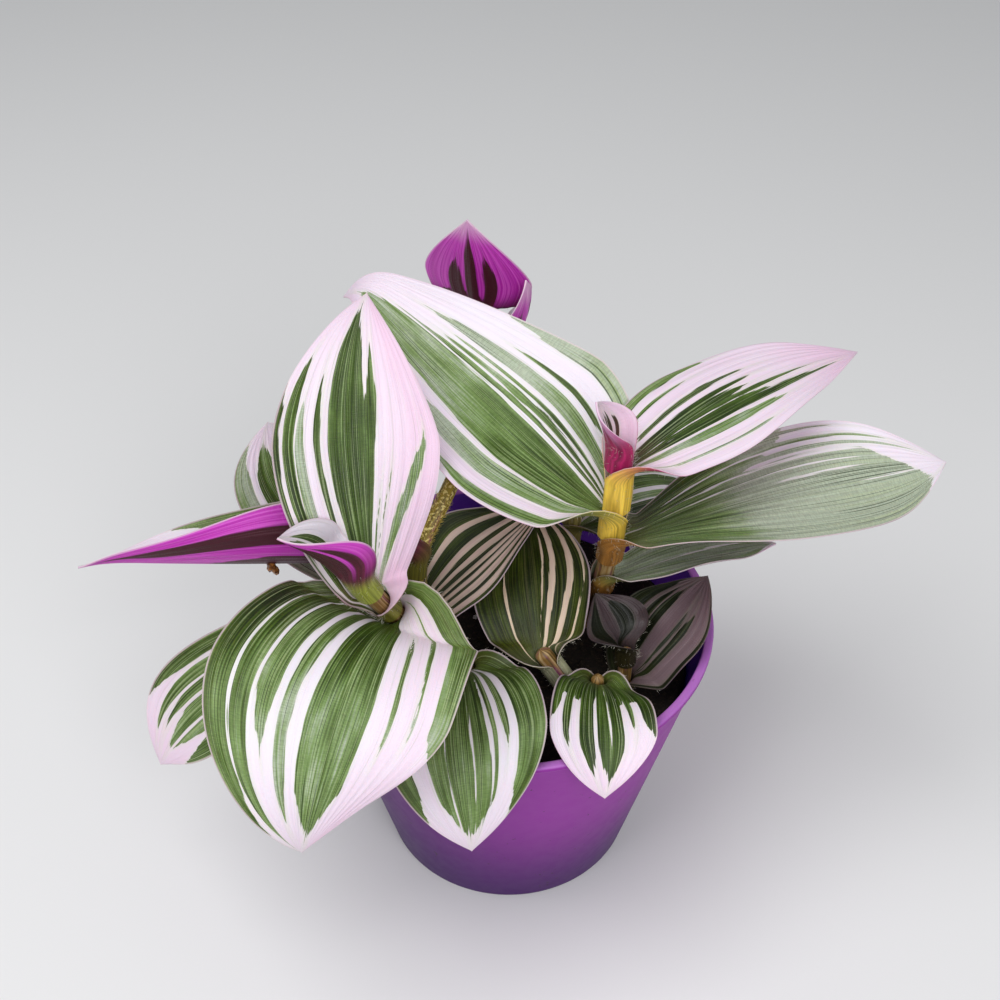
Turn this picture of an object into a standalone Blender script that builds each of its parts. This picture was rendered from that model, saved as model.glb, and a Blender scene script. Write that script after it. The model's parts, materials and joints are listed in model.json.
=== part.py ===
"""Potted tradescantia: a small plastic nursery pot of soil with eight leafy shoots.

Each leaf is one sheet: a sheath wrapped round its stem that opens into a broad blade.
The sheet is laid along a midrib, bent across into an arc, and given its thickness.
Lengths are in millimetres and angles in degrees until they are built in metres.
"""

import math

import bmesh
import bpy
import numpy as np
from mathutils import Matrix, Vector, noise

MM = 0.001

# Pot
POT_HEIGHT = 75.0
RIM_RADIUS = 52.5
BASE_RADIUS = 34.0
BASE_ROUNDING = 2.5
WALL = 1.4
FLOOR = 1.8
LIP_WIDTH = 2.2
LIP_HEIGHT = 1.8
POT_STEPS = 56
DRAIN_COUNT = 6
DRAIN_RADIUS = 3.5
DRAIN_CIRCLE = 22.0

# Soil
SOIL_TOP = 61.0
SOIL_CROWN = 2.0
SOIL_BUMP = 1.2
SOIL_STEPS = 36
SOIL_RINGS = 7

# Fit
GAP = 0.3
SHEATH_GAP = 0.5
HOLE_GAP = 0.8

# Leaves
LEAF_THICKNESS = 0.7
SLIT_HALF = 14.0
MIDRIB_STEPS = 300

# Each stem: the points its centre line passes through, and its radius.
STEMS = {
    "right": (
        [(22, 7, 52), (22, 7, 60), (22, 7, 68), (23, 1, 82), (24, -4, 96), (24.5, -7, 108),
         (25, -8, 130)],
        2.3),
    "left": (
        [(-14, -9, 52), (-14, -9, 60), (-14, -9, 68), (-19, -15, 81), (-25, -22, 93),
         (-30, -27, 104), (-32, -28.5, 109)],
        2.3),
    "back": (
        [(-24, 3, 52), (-24, 3, 60), (-24, 3, 68), (-24, 2, 83), (-22, 2, 96), (-15, 11, 107),
         (-9, 28, 113), (-8, 44, 117), (-8, 53, 125), (-8, 57, 134)],
        2.0),
    "front": ([(-10, -17, 52), (-10, -17, 60), (-10, -17, 68), (-12, -20, 77)], 2.0),
    "middle": (
        [(15.5, -19, 52), (15.5, -19, 60), (15, -19, 66), (11.5, -18, 72), (7.5, -17, 78)],
        2.2),
    "low": ([(29, -16, 52), (29, -16, 60), (29, -16, 68), (29, -16.5, 78)], 1.7),
    "rim": ([(22, -22, 52), (22, -22, 60), (22, -22, 68), (21.5, -23, 75)], 1.6),
    "rear": ([(16, 27, 52), (16, 27, 60), (16, 27, 68), (17, 28, 83), (18, 30, 98)], 2.0),
}
STEM_STEPS = 5
STEM_SIDES = 2

# Each leaf: its material, the stem it grows on, how far up the stem its sheath starts, and
# its form.
#   heading  the way it points, from +X towards +Y      swing  how far that turns by the tip
#   face     how far the sheath is turned from it
#   rise     its slope as it leaves the sheath          fall   its slope at the tip
#   roll     its tilt about its own midrib              twist  how much more it tilts by the tip
#   cup      half the arc it is bent across             cup_tip  the same at the tip
#   widest   where along the blade it is widest         base   how broad it starts, of its width
LEAF_DEFAULTS = dict(
    look="leaf_green", swing=0, face=0, bend=1.0, sheath=5, neck=6, flare=1.5, cup=25,
    cup_tip=None, roll=0, twist=0, widest=0.4, point=1.6, base=0.5, wave=0.6, waves=2.0,
    curl=0, rows=12, columns=8,
)
LEAVES = {
    "leaf_right_low": dict(
        look="leaf_silver", stem="right", at=32.5, heading=5.7, rise=29.3, fall=-4.5,
        length=47.2, width=21.0, widest=0.56, point=1.68, base=0.41, cup=20, roll=15.8,
        twist=-5.5, neck=5.2, flare=1.91,
    ),
    "leaf_right_long": dict(
        look="leaf_silver", stem="right", at=49.1, heading=7.5, face=-26.7, swing=6.6,
        rise=25.5, fall=-1.5, bend=0.68, length=88.0, width=40.7, widest=0.53, point=2.23,
        base=0.32, cup=18.4, roll=25.7, twist=-48.5, neck=7.0, flare=1.67,
    ),
    "leaf_top_large": dict(
        look="leaf_silver", stem="right", at=57.8, heading=138.8, face=39.4, swing=1.9,
        rise=23.8, fall=19.8, bend=0.98, length=101, width=52.7, widest=0.31, point=1.24,
        base=0.31, cup=28.4, roll=1.7, twist=39.9, curl=-65.4, neck=7.1, flare=1.76, rows=13,
    ),
    "leaf_right_upper": dict(
        look="leaf_pale", stem="right", at=66.5, heading=40.3, face=-44.3, swing=-10.7,
        rise=19.6, fall=-15.4, bend=1.25, length=82.3, width=33.7, widest=0.38, point=1.8,
        base=0.46, cup=-3.6, roll=4.4, twist=-6.9, sheath=9, neck=8.2, flare=1.69,
    ),
    "leaf_right_rolled": dict(
        look="leaf_pale", stem="right", at=79, heading=165, rise=80, fall=68, length=15,
        width=18, cup=120, cup_tip=70, wave=0, sheath=4, rows=9,
    ),
    "leaf_left_low": dict(
        look="leaf_pale", stem="left", at=31.2, heading=194.2, swing=-3.5, rise=11.1,
        fall=-72.4, bend=1.36, length=87.1, width=26.8, widest=0.62, point=2.56, base=0.56,
        cup=28.0, roll=25.6, twist=19.0, flare=1.57,
    ),
    "leaf_front_large": dict(
        look="leaf_pale", stem="left", at=46.3, heading=243.3, face=83.6, swing=17.8,
        rise=40.2, fall=-87.2, bend=1.04, length=76.8, width=55.0, widest=0.43, point=1.88,
        base=0.85, cup=17.0, cup_tip=-16.4, roll=0.2, twist=22.6, neck=5.2, flare=1.4, rows=13,
    ),
    "leaf_left_upright": dict(
        look="leaf_pale", stem="left", at=54.5, heading=110.4, face=-55.4, swing=-29.2,
        rise=68, fall=16.8, bend=1.28, length=78.2, width=38.5, widest=0.48, point=1.54,
        base=0.3, cup=4.4, roll=-13.8, twist=7.7, neck=4.5, flare=1.44,
    ),
    "leaf_left_young": dict(
        look="leaf_magenta", stem="left", at=64.2, heading=199.2, rise=66.7, fall=37.1,
        length=25.9, width=26, cup=98.0, roll=-21.6, wave=0, neck=5.6, flare=1.51, rows=9,
    ),
    "leaf_left_folded": dict(
        look="leaf_magenta", stem="back", at=34.9, heading=198.6, swing=-21.7, rise=14.5,
        fall=0.6, bend=0.74, length=87.2, width=42.2, widest=0.39, point=1.59, base=0.56,
        cup=103.7, roll=-38.4, twist=6.0, curl=-20, neck=6.7, flare=1.65,
    ),
    "leaf_left_behind": dict(
        look="leaf_silver", stem="back", at=23.8, heading=157.6, face=-70.7, swing=-36.0,
        rise=4.1, fall=49.5, length=61.1, width=36.8, widest=0.61, point=2.9, cup=21.0,
        roll=-5.3, twist=13.7, neck=6.3, flare=1.87,
    ),
    "leaf_centre_striped": dict(
        look="leaf_olive", stem="back", at=15.2, heading=18.6, face=-71.7, rise=45.6,
        fall=31.2, length=44.6, width=36, widest=0.43, point=1.55, base=0.57, roll=2.3,
        neck=5.8, flare=1.45,
    ),
    "leaf_left_rear": dict(
        stem="back", at=68, heading=118, rise=0, fall=-50, length=52, width=30,
    ),
    "leaf_bud_right": dict(
        look="leaf_magenta", stem="back", at=95.9, heading=339.1, face=32.7, rise=30.3,
        fall=99.8, length=30.9, width=24, cup=61.2, roll=3.7, wave=0, sheath=4, neck=6.5,
        flare=1.91, rows=9,
    ),
    "leaf_bud_left": dict(
        look="leaf_magenta", stem="back", at=109.7, heading=257.1, rise=72.1, fall=78.3,
        length=34.5, width=30.5, widest=0.36, point=1.39, cup=29.9, roll=5.0, wave=0, sheath=4,
        neck=4.5, flare=1.44, rows=9,
    ),
    "leaf_front_hanging": dict(
        stem="front", at=17.7, heading=265.4, swing=19.0, rise=58.2, fall=-82.3, bend=0.86,
        length=64.1, width=39.9, widest=0.49, point=1.73, base=0.54, cup=17.8, roll=-1.1,
        twist=-0.2, sheath=4, neck=5.8, flare=1.41,
    ),
    "leaf_centre_olive": dict(
        look="leaf_olive", stem="middle", at=17.9, heading=95.2, face=20.5, swing=-0.2,
        rise=34.9, fall=10.9, length=45.5, width=31.8, widest=0.45, point=1.74, base=0.56,
        roll=21.8, twist=-3.0, sheath=7, neck=5.4, flare=1.4,
    ),
    "leaf_rim_small": dict(
        stem="rim", at=15.4, heading=266.2, swing=7.4, rise=57.5, fall=-62.0, bend=0.94,
        length=44.2, width=25.9, widest=0.62, point=1.62, base=0.37, cup=20.4, roll=12.7,
        twist=-9.3, sheath=4, neck=5.8, flare=1.4, rows=10,
    ),
    "leaf_low_right": dict(
        look="leaf_olive", stem="low", at=10.5, heading=29.7, face=-11.4, swing=16.6,
        rise=58.8, fall=13.5, length=36.4, width=26.0, widest=0.45, point=1.77, base=0.72,
        cup=9.5, roll=3.3, twist=0.8, sheath=4, neck=4.9, flare=1.4, rows=10,
    ),
    "leaf_low_inner": dict(
        look="leaf_olive", stem="low", at=21.4, heading=129.2, face=62.3, rise=61.0, fall=24.2,
        length=18.0, width=20, cup=24.7, roll=0.3, sheath=4, neck=6.4, flare=1.52, rows=10,
    ),
    "leaf_rear_right": dict(
        stem="rear", at=21.2, heading=30.1, face=-65.1, rise=25.6, fall=-50.3, length=62.0,
        width=34, cup=24.7, roll=-0.6,
    ),
    "leaf_rear_left": dict(
        stem="rear", at=30, heading=110, face=60, rise=30, fall=-40, length=60, width=34,
        neck=7,
    ),
    "leaf_rear_young": dict(
        stem="rear", at=39.3, heading=75, rise=60, fall=30, length=22, width=20, cup=40,
        rows=10,
    ),
}

# Base colour and roughness of each material.
MATERIALS = {
    "pot_plastic": ((0.285, 0.065, 0.293), 0.4),
    "soil": ((0.012, 0.009, 0.006), 0.95),
    "stem": ((0.150, 0.090, 0.020), 0.6),
    "leaf_green": ((0.190, 0.280, 0.090), 0.45),
    "leaf_silver": ((0.410, 0.480, 0.390), 0.4),
    "leaf_pale": ((0.740, 0.600, 0.680), 0.45),
    "leaf_olive": ((0.090, 0.090, 0.030), 0.45),
    "leaf_magenta": ((0.430, 0.060, 0.330), 0.4),
}


def clear_scene():
    for obj in list(bpy.data.objects):
        bpy.data.objects.remove(obj, do_unlink=True)


def make_collection(name, helper=False):
    collection = bpy.data.collections.new(name)
    collection.hide_render = helper
    bpy.context.scene.collection.children.link(collection)
    return collection


def make_material(name, kind):
    colour, roughness = MATERIALS[kind]
    material = bpy.data.materials.new(name)
    material.use_nodes = True
    shader = material.node_tree.nodes["Principled BSDF"]
    shader.inputs["Base Color"].default_value = (*colour, 1.0)
    shader.inputs["Roughness"].default_value = roughness
    material.diffuse_color = (*colour, 1.0)
    return material


def add_object(name, mesh, collection, kind, sharp=40.0):
    """Links a node shaded smooth, with its edges over `sharp` degrees left crisp."""
    mesh.shade_smooth()
    mesh.set_sharp_from_angle(angle=math.radians(sharp))
    obj = bpy.data.objects.new(name, mesh)
    mesh.materials.append(make_material(name + "_material", kind))
    collection.objects.link(obj)
    return obj


def evaluated_mesh(obj, name):
    """A copy of the object's mesh with its modifiers applied."""
    graph = bpy.context.evaluated_depsgraph_get()
    graph.update()
    return bpy.data.meshes.new_from_object(obj.evaluated_get(graph), depsgraph=graph)


def screw_modifier(obj, steps):
    screw = obj.modifiers.new("turn", "SCREW")
    screw.axis = "Z"
    screw.steps = steps
    screw.render_steps = steps
    screw.use_merge_vertices = True
    screw.merge_threshold = 0.0001
    screw.use_normal_calculate = True


def turned_mesh(name, profile, steps, collection):
    """The solid made by turning a profile of (radius, height) round the Z axis."""
    mesh = bpy.data.meshes.new(name + "_profile")
    points = [(radius * MM, 0.0, height * MM) for radius, height in profile]
    mesh.from_pydata(points, [(i, i + 1) for i in range(len(points) - 1)], [])
    obj = bpy.data.objects.new(name + "_turning", mesh)
    collection.objects.link(obj)
    screw_modifier(obj, steps)
    solid = evaluated_mesh(obj, name)
    solid.name = name
    face_outward(solid)
    bpy.data.objects.remove(obj)
    return solid


def face_outward(mesh):
    form = bmesh.new()
    form.from_mesh(mesh)
    bmesh.ops.remove_doubles(form, verts=form.verts, dist=1e-6)
    bmesh.ops.recalc_face_normals(form, faces=form.faces)
    form.to_mesh(mesh)
    form.free()


def add_cutter(name, radius, bottom, top, centre, sides, cutters):
    """An upright cylinder from height bottom to height top."""
    form = bmesh.new()
    place = Matrix.Translation(Vector((centre[0], centre[1], (bottom + top) / 2)) * MM)
    bmesh.ops.create_cone(
        form, cap_ends=True, segments=sides, radius1=radius * MM, radius2=radius * MM,
        depth=(top - bottom) * MM, matrix=place,
    )
    mesh = bpy.data.meshes.new(name)
    form.to_mesh(mesh)
    form.free()
    cutter = bpy.data.objects.new(name, mesh)
    cutter.hide_render = True
    cutter.display_type = "WIRE"
    cutters.objects.link(cutter)
    return cutter


def cut(obj, cutter):
    boolean = obj.modifiers.new(cutter.name, "BOOLEAN")
    boolean.operation = "DIFFERENCE"
    boolean.solver = "EXACT"
    boolean.object = cutter


def outer_radius(height):
    return BASE_RADIUS + (RIM_RADIUS - LIP_WIDTH + WALL - BASE_RADIUS) * height / POT_HEIGHT


def add_pot(parts, cutters):
    lip_foot = POT_HEIGHT - LIP_HEIGHT
    profile = [
        (0.0, FLOOR),
        (BASE_RADIUS - WALL - 1.5, FLOOR),
        (outer_radius(FLOOR + 1.5) - WALL, FLOOR + 1.5),
        (outer_radius(lip_foot) - WALL, lip_foot),
        (RIM_RADIUS - LIP_WIDTH, POT_HEIGHT - 0.5),
        (RIM_RADIUS - LIP_WIDTH + 0.5, POT_HEIGHT),
        (RIM_RADIUS - 0.5, POT_HEIGHT),
        (RIM_RADIUS, POT_HEIGHT - 0.5),
        (RIM_RADIUS, lip_foot + 0.4),
        (RIM_RADIUS - 0.4, lip_foot),
        (outer_radius(lip_foot - 0.3), lip_foot - 0.3),
        (outer_radius(BASE_ROUNDING), BASE_ROUNDING),
        (BASE_RADIUS - 0.4, 1.0),
        (BASE_RADIUS - 1.2, 0.25),
        (BASE_RADIUS - BASE_ROUNDING, 0.0),
        (0.0, 0.0),
    ]
    mesh = turned_mesh("pot", profile, POT_STEPS, cutters)
    pot = add_object("pot", mesh, parts, "pot_plastic")
    for i in range(DRAIN_COUNT):
        angle = math.tau * (i + 0.5) / DRAIN_COUNT
        centre = (DRAIN_CIRCLE * math.cos(angle), DRAIN_CIRCLE * math.sin(angle))
        cut(pot, add_cutter(f"drain_{i}", DRAIN_RADIUS, -2.0, FLOOR + 2.0, centre, 16, cutters))
    return pot


def soil_height(x, y):
    """The top of the soil: a low crown with lumps."""
    away = math.hypot(x, y) / RIM_RADIUS
    lumps = noise.noise(Vector((x, y, 3.0)) / 9.0) + 0.5 * noise.noise(Vector((x, y, 8.0)) / 4.0)
    return SOIL_TOP + SOIL_CROWN * (1.0 - away * away) + SOIL_BUMP * lumps


def add_soil(parts, cutters):
    top = SOIL_TOP
    foot = FLOOR + GAP
    inside = -WALL - GAP - 0.15
    edge = outer_radius(top) + inside
    profile = [(0.0, top)]
    profile += [(edge * i / SOIL_RINGS, top) for i in range(1, SOIL_RINGS + 1)]
    profile += [
        (outer_radius(foot + 4.0) + inside, foot + 4.0),
        (outer_radius(foot + 2.0) + inside - 1.0, foot + 1.5),
        (BASE_RADIUS - WALL - 4.5, foot),
        (0.0, foot),
    ]
    mesh = turned_mesh("soil", profile, SOIL_STEPS, cutters)
    for vertex in mesh.vertices:
        x, y, z = vertex.co / MM
        if z < top - 0.01:
            continue
        level = soil_height(x, y) if math.hypot(x, y) < edge - 0.1 else top - 0.5
        vertex.co.z = level * MM
    soil = add_object("soil", mesh, parts, "soil")
    for name, (points, radius) in STEMS.items():
        hole = radius + HOLE_GAP
        bottom = points[0][2] - GAP
        cut(soil, add_cutter("hole_" + name, hole, bottom, SOIL_TOP + 9, points[0][:2], 14, cutters))
    return soil


def smooth(x):
    x = np.clip(x, 0.0, 1.0)
    return x * x * (3.0 - 2.0 * x)


def unit(v):
    return v / np.linalg.norm(v, axis=-1, keepdims=True)


def stem_line(points, steps):
    """A smooth line through the points (Catmull-Rom), and its direction along the way."""
    p = np.array(points, float)
    p = np.vstack([2 * p[0] - p[1], p, 2 * p[-1] - p[-2]])
    t = np.linspace(0.0, len(p) - 3.0, steps)
    i = np.minimum(t.astype(int), len(p) - 4)
    f = (t - i)[:, None]
    a, b, c, d = p[i], p[i + 1], p[i + 2], p[i + 3]
    square = 2 * a - 5 * b + 4 * c - d
    cube = 3 * b - a - 3 * c + d
    line = 0.5 * (2 * b + (c - a) * f + square * f**2 + cube * f**3)
    return line, unit((c - a) + 2 * square * f + 3 * cube * f**2)


def lengths_along(line):
    steps = np.linalg.norm(np.diff(line, axis=0), axis=1)
    return np.concatenate([[0.0], np.cumsum(steps)])


def stem_place(stem, distance):
    """The point this far up the stem, and the stem's direction there."""
    line, ways = stem_line(STEMS[stem][0], 240)
    along = lengths_along(line)
    point = np.array([np.interp(distance, along, line[:, i]) for i in range(3)])
    way = np.array([np.interp(distance, along, ways[:, i]) for i in range(3)])
    return point, unit(way)


def add_stem(name, parts, cutters):
    """A round stem standing in its hole in the soil."""
    points, radius = STEMS[name]
    count = STEM_STEPS * (len(points) - 1) + 1
    line, _ = stem_line(points, count)
    curve = bpy.data.curves.new("stem_" + name, "CURVE")
    curve.dimensions = "3D"
    curve.bevel_depth = radius * MM
    curve.bevel_resolution = STEM_SIDES
    curve.use_fill_caps = True
    spline = curve.splines.new("POLY")
    spline.points.add(count - 1)
    for point, place in zip(spline.points, line):
        point.co = (*(place * MM), 1.0)
    helper = bpy.data.objects.new("stem_" + name + "_line", curve)
    cutters.objects.link(helper)
    mesh = evaluated_mesh(helper, name)
    mesh.name = "stem_" + name
    bpy.data.objects.remove(helper)
    face_outward(mesh)
    return add_object("stem_" + name, mesh, parts, "stem")


def midrib(leaf, root, axis, tube):
    """The line down the middle of the leaf, with its across and upward directions."""
    total = leaf["sheath"] + leaf["length"]
    way = np.linspace(0.0, total, MIDRIB_STEPS)
    u = np.clip((way - leaf["sheath"]) / leaf["length"], 0.0, 1.0)
    slope = leaf["rise"] + (leaf["fall"] - leaf["rise"]) * u ** leaf["bend"]
    slope = slope + leaf["curl"] * smooth((u - 0.8) / 0.2)
    slope = np.radians(slope)
    leave = smooth((way - leaf["sheath"]) / leaf["neck"])
    turn = np.radians(leaf["heading"] + leaf["swing"] * u)
    faced = turn + np.radians(leaf["face"]) * (1.0 - leave)
    flat = np.cos(slope)
    blade = np.stack([flat * np.cos(turn), flat * np.sin(turn), np.sin(slope)], -1)
    forward = unit((1.0 - leave[:, None]) * axis + leave[:, None] * blade)
    across = np.stack([np.sin(faced), -np.cos(faced), 0.0 * faced], -1)
    across = unit(across - np.sum(across * forward, -1, keepdims=True) * forward)
    up = np.cross(across, forward)
    settle = smooth((way - leaf["sheath"]) / (1.5 * leaf["neck"]))
    roll = np.radians(leaf["roll"] * settle + leaf["twist"] * u)[:, None]
    tilted = across * np.cos(roll) + up * np.sin(roll)
    raised = up * np.cos(roll) - across * np.sin(roll)
    steps = np.diff(way)[:, None] * (forward[1:] + forward[:-1]) / 2.0
    line = np.vstack([np.zeros(3), np.cumsum(steps, 0)]) + root - tube * up
    return way, line, tilted, raised


def sample(at, way, rows):
    return np.stack([np.interp(at, way, rows[:, i]) for i in range(3)], -1)


def leaf_sheet(leaf, root, axis, tube, at, t):
    """The points of the leaf's sheet, at distances `at` from its root and t from edge to edge."""
    way, line, across, up = midrib(leaf, root, axis, tube)
    line = sample(at, way, line)
    across = unit(sample(at, way, across))
    up = unit(sample(at, way, up))
    u = np.clip((at - leaf["sheath"]) / leaf["length"], 0.0, 1.0)
    wrap = math.pi - math.radians(SLIT_HALF)
    widest = leaf["widest"]
    near = leaf["base"] + (1.0 - leaf["base"]) * (1.0 - (1.0 - np.minimum(u / widest, 1.0)) ** 2)
    far = 1.0 - np.clip((u - widest) / (1.0 - widest), 0.0, 1.0) ** leaf["point"]
    outline = np.where(u < widest, near, far)
    open_width = smooth((at - leaf["sheath"]) / (leaf["neck"] * leaf["flare"]))
    half = tube * wrap * (1.0 - open_width) + leaf["width"] / 2.0 * outline * open_width
    half = np.maximum(half, 0.02)
    cup_tip = leaf["cup"] if leaf["cup_tip"] is None else leaf["cup_tip"]
    cup = np.radians(leaf["cup"] + (cup_tip - leaf["cup"]) * u)
    opened = smooth((at - 0.8 * leaf["sheath"]) / (leaf["neck"] * leaf["flare"]))
    bend = wrap * (1.0 - opened) + cup * opened * np.clip(2.0 * half / leaf["width"], 0.0, 1.0)
    curve = (bend / half)[:, None]
    curve = np.where(np.abs(curve) < 1e-6, 1e-6, curve)
    reach = half[:, None] * t[None, :]
    side = np.sin(curve * reach) / curve
    lift = (1.0 - np.cos(curve * reach)) / curve
    ends = smooth(u * 4.0) * smooth((1.0 - u) * 4.0)
    phase = leaf["waves"] * u[:, None] + 0.3 * (t[None, :] > 0) + leaf["length"] / 7.0
    lift = lift + leaf["wave"] * np.abs(t[None, :]) ** 3 * np.sin(math.tau * phase) * ends[:, None]
    return line[:, None] + side[..., None] * across[:, None] + lift[..., None] * up[:, None]


def row_places(leaf):
    """Distances of the rows from the root: closer together where the sheath opens."""
    start = np.array([0.0, leaf["sheath"]])
    neck_end = leaf["sheath"] + leaf["neck"] * leaf["flare"]
    opening = np.linspace(leaf["sheath"], neck_end, 5)[1:]
    rest = leaf["rows"] - 5
    total = leaf["sheath"] + leaf["length"]
    blade = neck_end + (total - neck_end) * np.linspace(0.0, 1.0, rest + 1)[1:]
    return np.concatenate([start, opening, blade])


def add_leaf(name, spec, parts):
    leaf = {**LEAF_DEFAULTS, **spec}
    wrap = math.pi - math.radians(SLIT_HALF)
    stem_radius = STEMS[leaf["stem"]][1]
    chord = math.cos(wrap / leaf["columns"])
    tube = (stem_radius + SHEATH_GAP + LEAF_THICKNESS / 2.0) / chord
    root, axis = stem_place(leaf["stem"], leaf["at"])
    at = row_places(leaf)
    t = np.linspace(-1.0, 1.0, leaf["columns"] + 1)
    sheet = leaf_sheet(leaf, root, axis, tube, at, t)
    form = bmesh.new()
    bmesh.ops.create_grid(form, x_segments=len(at) - 1, y_segments=leaf["columns"], size=1.0)
    form.verts.ensure_lookup_table()
    for vertex in form.verts:
        i = round((vertex.co.x + 1.0) / 2.0 * (len(at) - 1))
        j = round((vertex.co.y + 1.0) / 2.0 * leaf["columns"])
        vertex.co = Vector(sheet[i, j]) * MM
    bmesh.ops.triangulate(form, faces=form.faces, quad_method="FIXED")
    bmesh.ops.remove_doubles(form, verts=form.verts, dist=0.00005)
    mesh = bpy.data.meshes.new(name)
    form.to_mesh(mesh)
    form.free()
    obj = add_object(name, mesh, parts, leaf["look"])
    solidify = obj.modifiers.new("thickness", "SOLIDIFY")
    solidify.thickness = LEAF_THICKNESS * MM
    solidify.offset = 0.0
    return obj


def main():
    clear_scene()
    parts = make_collection("potted_tradescantia")
    cutters = make_collection("cutters", helper=True)
    add_pot(parts, cutters)
    add_soil(parts, cutters)
    for name in STEMS:
        add_stem(name, parts, cutters)
    for name, spec in LEAVES.items():
        add_leaf(name, spec, parts)


main()
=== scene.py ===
"""Potted tradescantia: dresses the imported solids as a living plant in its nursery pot.

Every leaf is one closed sheet worked out from its midrib, its outline and its arc, with
its stripes carried as attributes along the veins. Lengths are in millimetres and angles
in degrees until a mesh is written, which is in metres.
"""

import json
import math

import bpy
import numpy as np
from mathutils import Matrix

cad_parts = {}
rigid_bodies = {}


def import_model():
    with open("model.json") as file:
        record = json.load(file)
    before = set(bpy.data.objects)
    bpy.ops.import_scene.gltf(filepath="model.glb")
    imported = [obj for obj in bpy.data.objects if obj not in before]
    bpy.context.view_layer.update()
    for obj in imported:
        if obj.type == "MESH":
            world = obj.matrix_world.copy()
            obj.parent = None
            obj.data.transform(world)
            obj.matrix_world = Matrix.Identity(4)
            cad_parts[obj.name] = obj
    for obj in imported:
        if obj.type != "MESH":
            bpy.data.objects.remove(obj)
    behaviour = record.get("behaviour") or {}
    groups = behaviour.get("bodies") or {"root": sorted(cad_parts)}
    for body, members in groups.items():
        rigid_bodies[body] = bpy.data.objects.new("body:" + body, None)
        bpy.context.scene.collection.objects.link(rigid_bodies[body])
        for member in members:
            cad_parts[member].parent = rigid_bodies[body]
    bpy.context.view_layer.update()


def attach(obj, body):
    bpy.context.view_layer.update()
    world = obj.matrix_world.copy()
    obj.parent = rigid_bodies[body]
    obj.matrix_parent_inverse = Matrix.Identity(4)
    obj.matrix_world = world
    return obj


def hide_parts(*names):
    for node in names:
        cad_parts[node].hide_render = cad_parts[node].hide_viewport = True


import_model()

bl_info = {
    "name": "Potted tradescantia",
    "version": (1, 0, 0),
    "blender": (4, 5, 0),
    "location": "3D View > Sidebar > Tradescantia",
    "description": "Leaves, stems, soil and pot of a potted tradescantia",
    "category": "Object",
}

MM = 0.001

# Pot and soil
POT_HEIGHT = 75.0
RIM_RADIUS = 52.5
BASE_RADIUS = 34.0
WALL = 1.4
FLOOR = 1.8
LIP_WIDTH = 2.2
LIP_HEIGHT = 1.8
DRAIN_COUNT = 6
DRAIN_RADIUS = 3.5
DRAIN_CIRCLE = 22.0
SOIL_TOP = 61.0
SOIL_GAP = 0.35

# Camera: where it is, and how many degrees it looks down
CAMERA_PLACE = (-2.4, -258.9, 324.7)
CAMERA_DOWN = 39.4

# Leaves
SHEATH_GAP = 0.35
SHEATH_WALL = 0.35
SLIT_HALF = 14.0
MIDRIB_STEPS = 300
PATTERN_STEP = 37.0

# Each stem: the points its centre line passes through, and its radius.
STEMS = {
    "right": (
        [(22, 7, 52), (22, 7, 60), (22, 7, 68), (23, 1, 82), (24, -4, 96), (24.5, -7, 108),
         (25, -8, 130)],
        2.3),
    "left": (
        [(-14, -9, 52), (-14, -9, 60), (-14, -9, 68), (-19, -15, 81), (-25, -22, 93),
         (-30, -27, 104), (-32, -28.5, 109)],
        2.3),
    "back": (
        [(-24, 3, 52), (-24, 3, 60), (-24, 3, 68), (-24, 2, 83), (-22, 2, 96), (-15, 11, 107),
         (-9, 28, 113), (-8, 44, 117), (-8, 53, 125), (-8, 57, 134)],
        2.0),
    "front": ([(-10, -17, 52), (-10, -17, 60), (-10, -17, 68), (-12, -20, 77)], 2.0),
    "middle": (
        [(15.5, -19, 52), (15.5, -19, 60), (15, -19, 66), (11.5, -18, 72), (7.5, -17, 78)],
        2.2),
    "low": ([(29, -16, 52), (29, -16, 60), (29, -16, 68), (29, -16.5, 78)], 1.7),
    "rim": ([(22, -22, 52), (22, -22, 60), (22, -22, 68), (21.5, -23, 75)], 1.6),
    "rear": ([(16, 27, 52), (16, 27, 60), (16, 27, 68), (17, 28, 83), (18, 30, 98)], 2.0),
}

# Form of each leaf: where its sheath starts on its stem, and how it is bent.
#   heading, swing  the way it points and how far that turns by the tip
#   rise, fall      its slope as it leaves the sheath and at the tip
#   roll, twist     its tilt about its midrib, and how much more by the tip
#   cup, cup_tip    half the arc it is bent across
FORM = dict(
    slot="leaf_green", swing=0, face=0, bend=1.0, sheath=5, neck=6, flare=1.5, cup=25,
    cup_tip=None, roll=0, twist=0, widest=0.4, point=1.6, base=0.5, wave=0.6, waves=2.0, curl=0,
)
# Look of each leaf: its stripes are green bands (low, high, end, tone, start, lean). Low and
# high are places across the veins from -1 to 1, start and end are shares of the blade's
# length, tone runs from 0, deep green, to 1, silver, and lean is how far the band drifts
# over the blade. A tone under 0 is a pale stripe cut into what came before it. Most bands
# leave out start and lean, and take them from BAND_REST.
# Shade is painted shade: it darkens a whole leaf towards black, for the leaves that lie in shadow
# deep inside the plant.
LOOK = dict(
    fan=(0.4, 0.4), bands=(), silver=0.0, blush=0.2, blush_tip=0.3, blush_left=0.0,
    blush_right=0.0, warm=0.0, lines=1.0, sheath_colour=(0.33, 0.27, 0.08),
    neck_colour=(0.16, 0.17, 0.04), margin=0.6, shade=1.0,
)
BAND_REST = (-1, 0)
BROWN = (0.30, 0.13, 0.025)
STRAW = (0.92, 0.60, 0.08)
OLIVE = (0.16, 0.15, 0.02)
WINE = (0.36, 0.012, 0.10)
MAROON = (0.10, 0.006, 0.03)
GREEN = (0.20, 0.26, 0.06)
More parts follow.
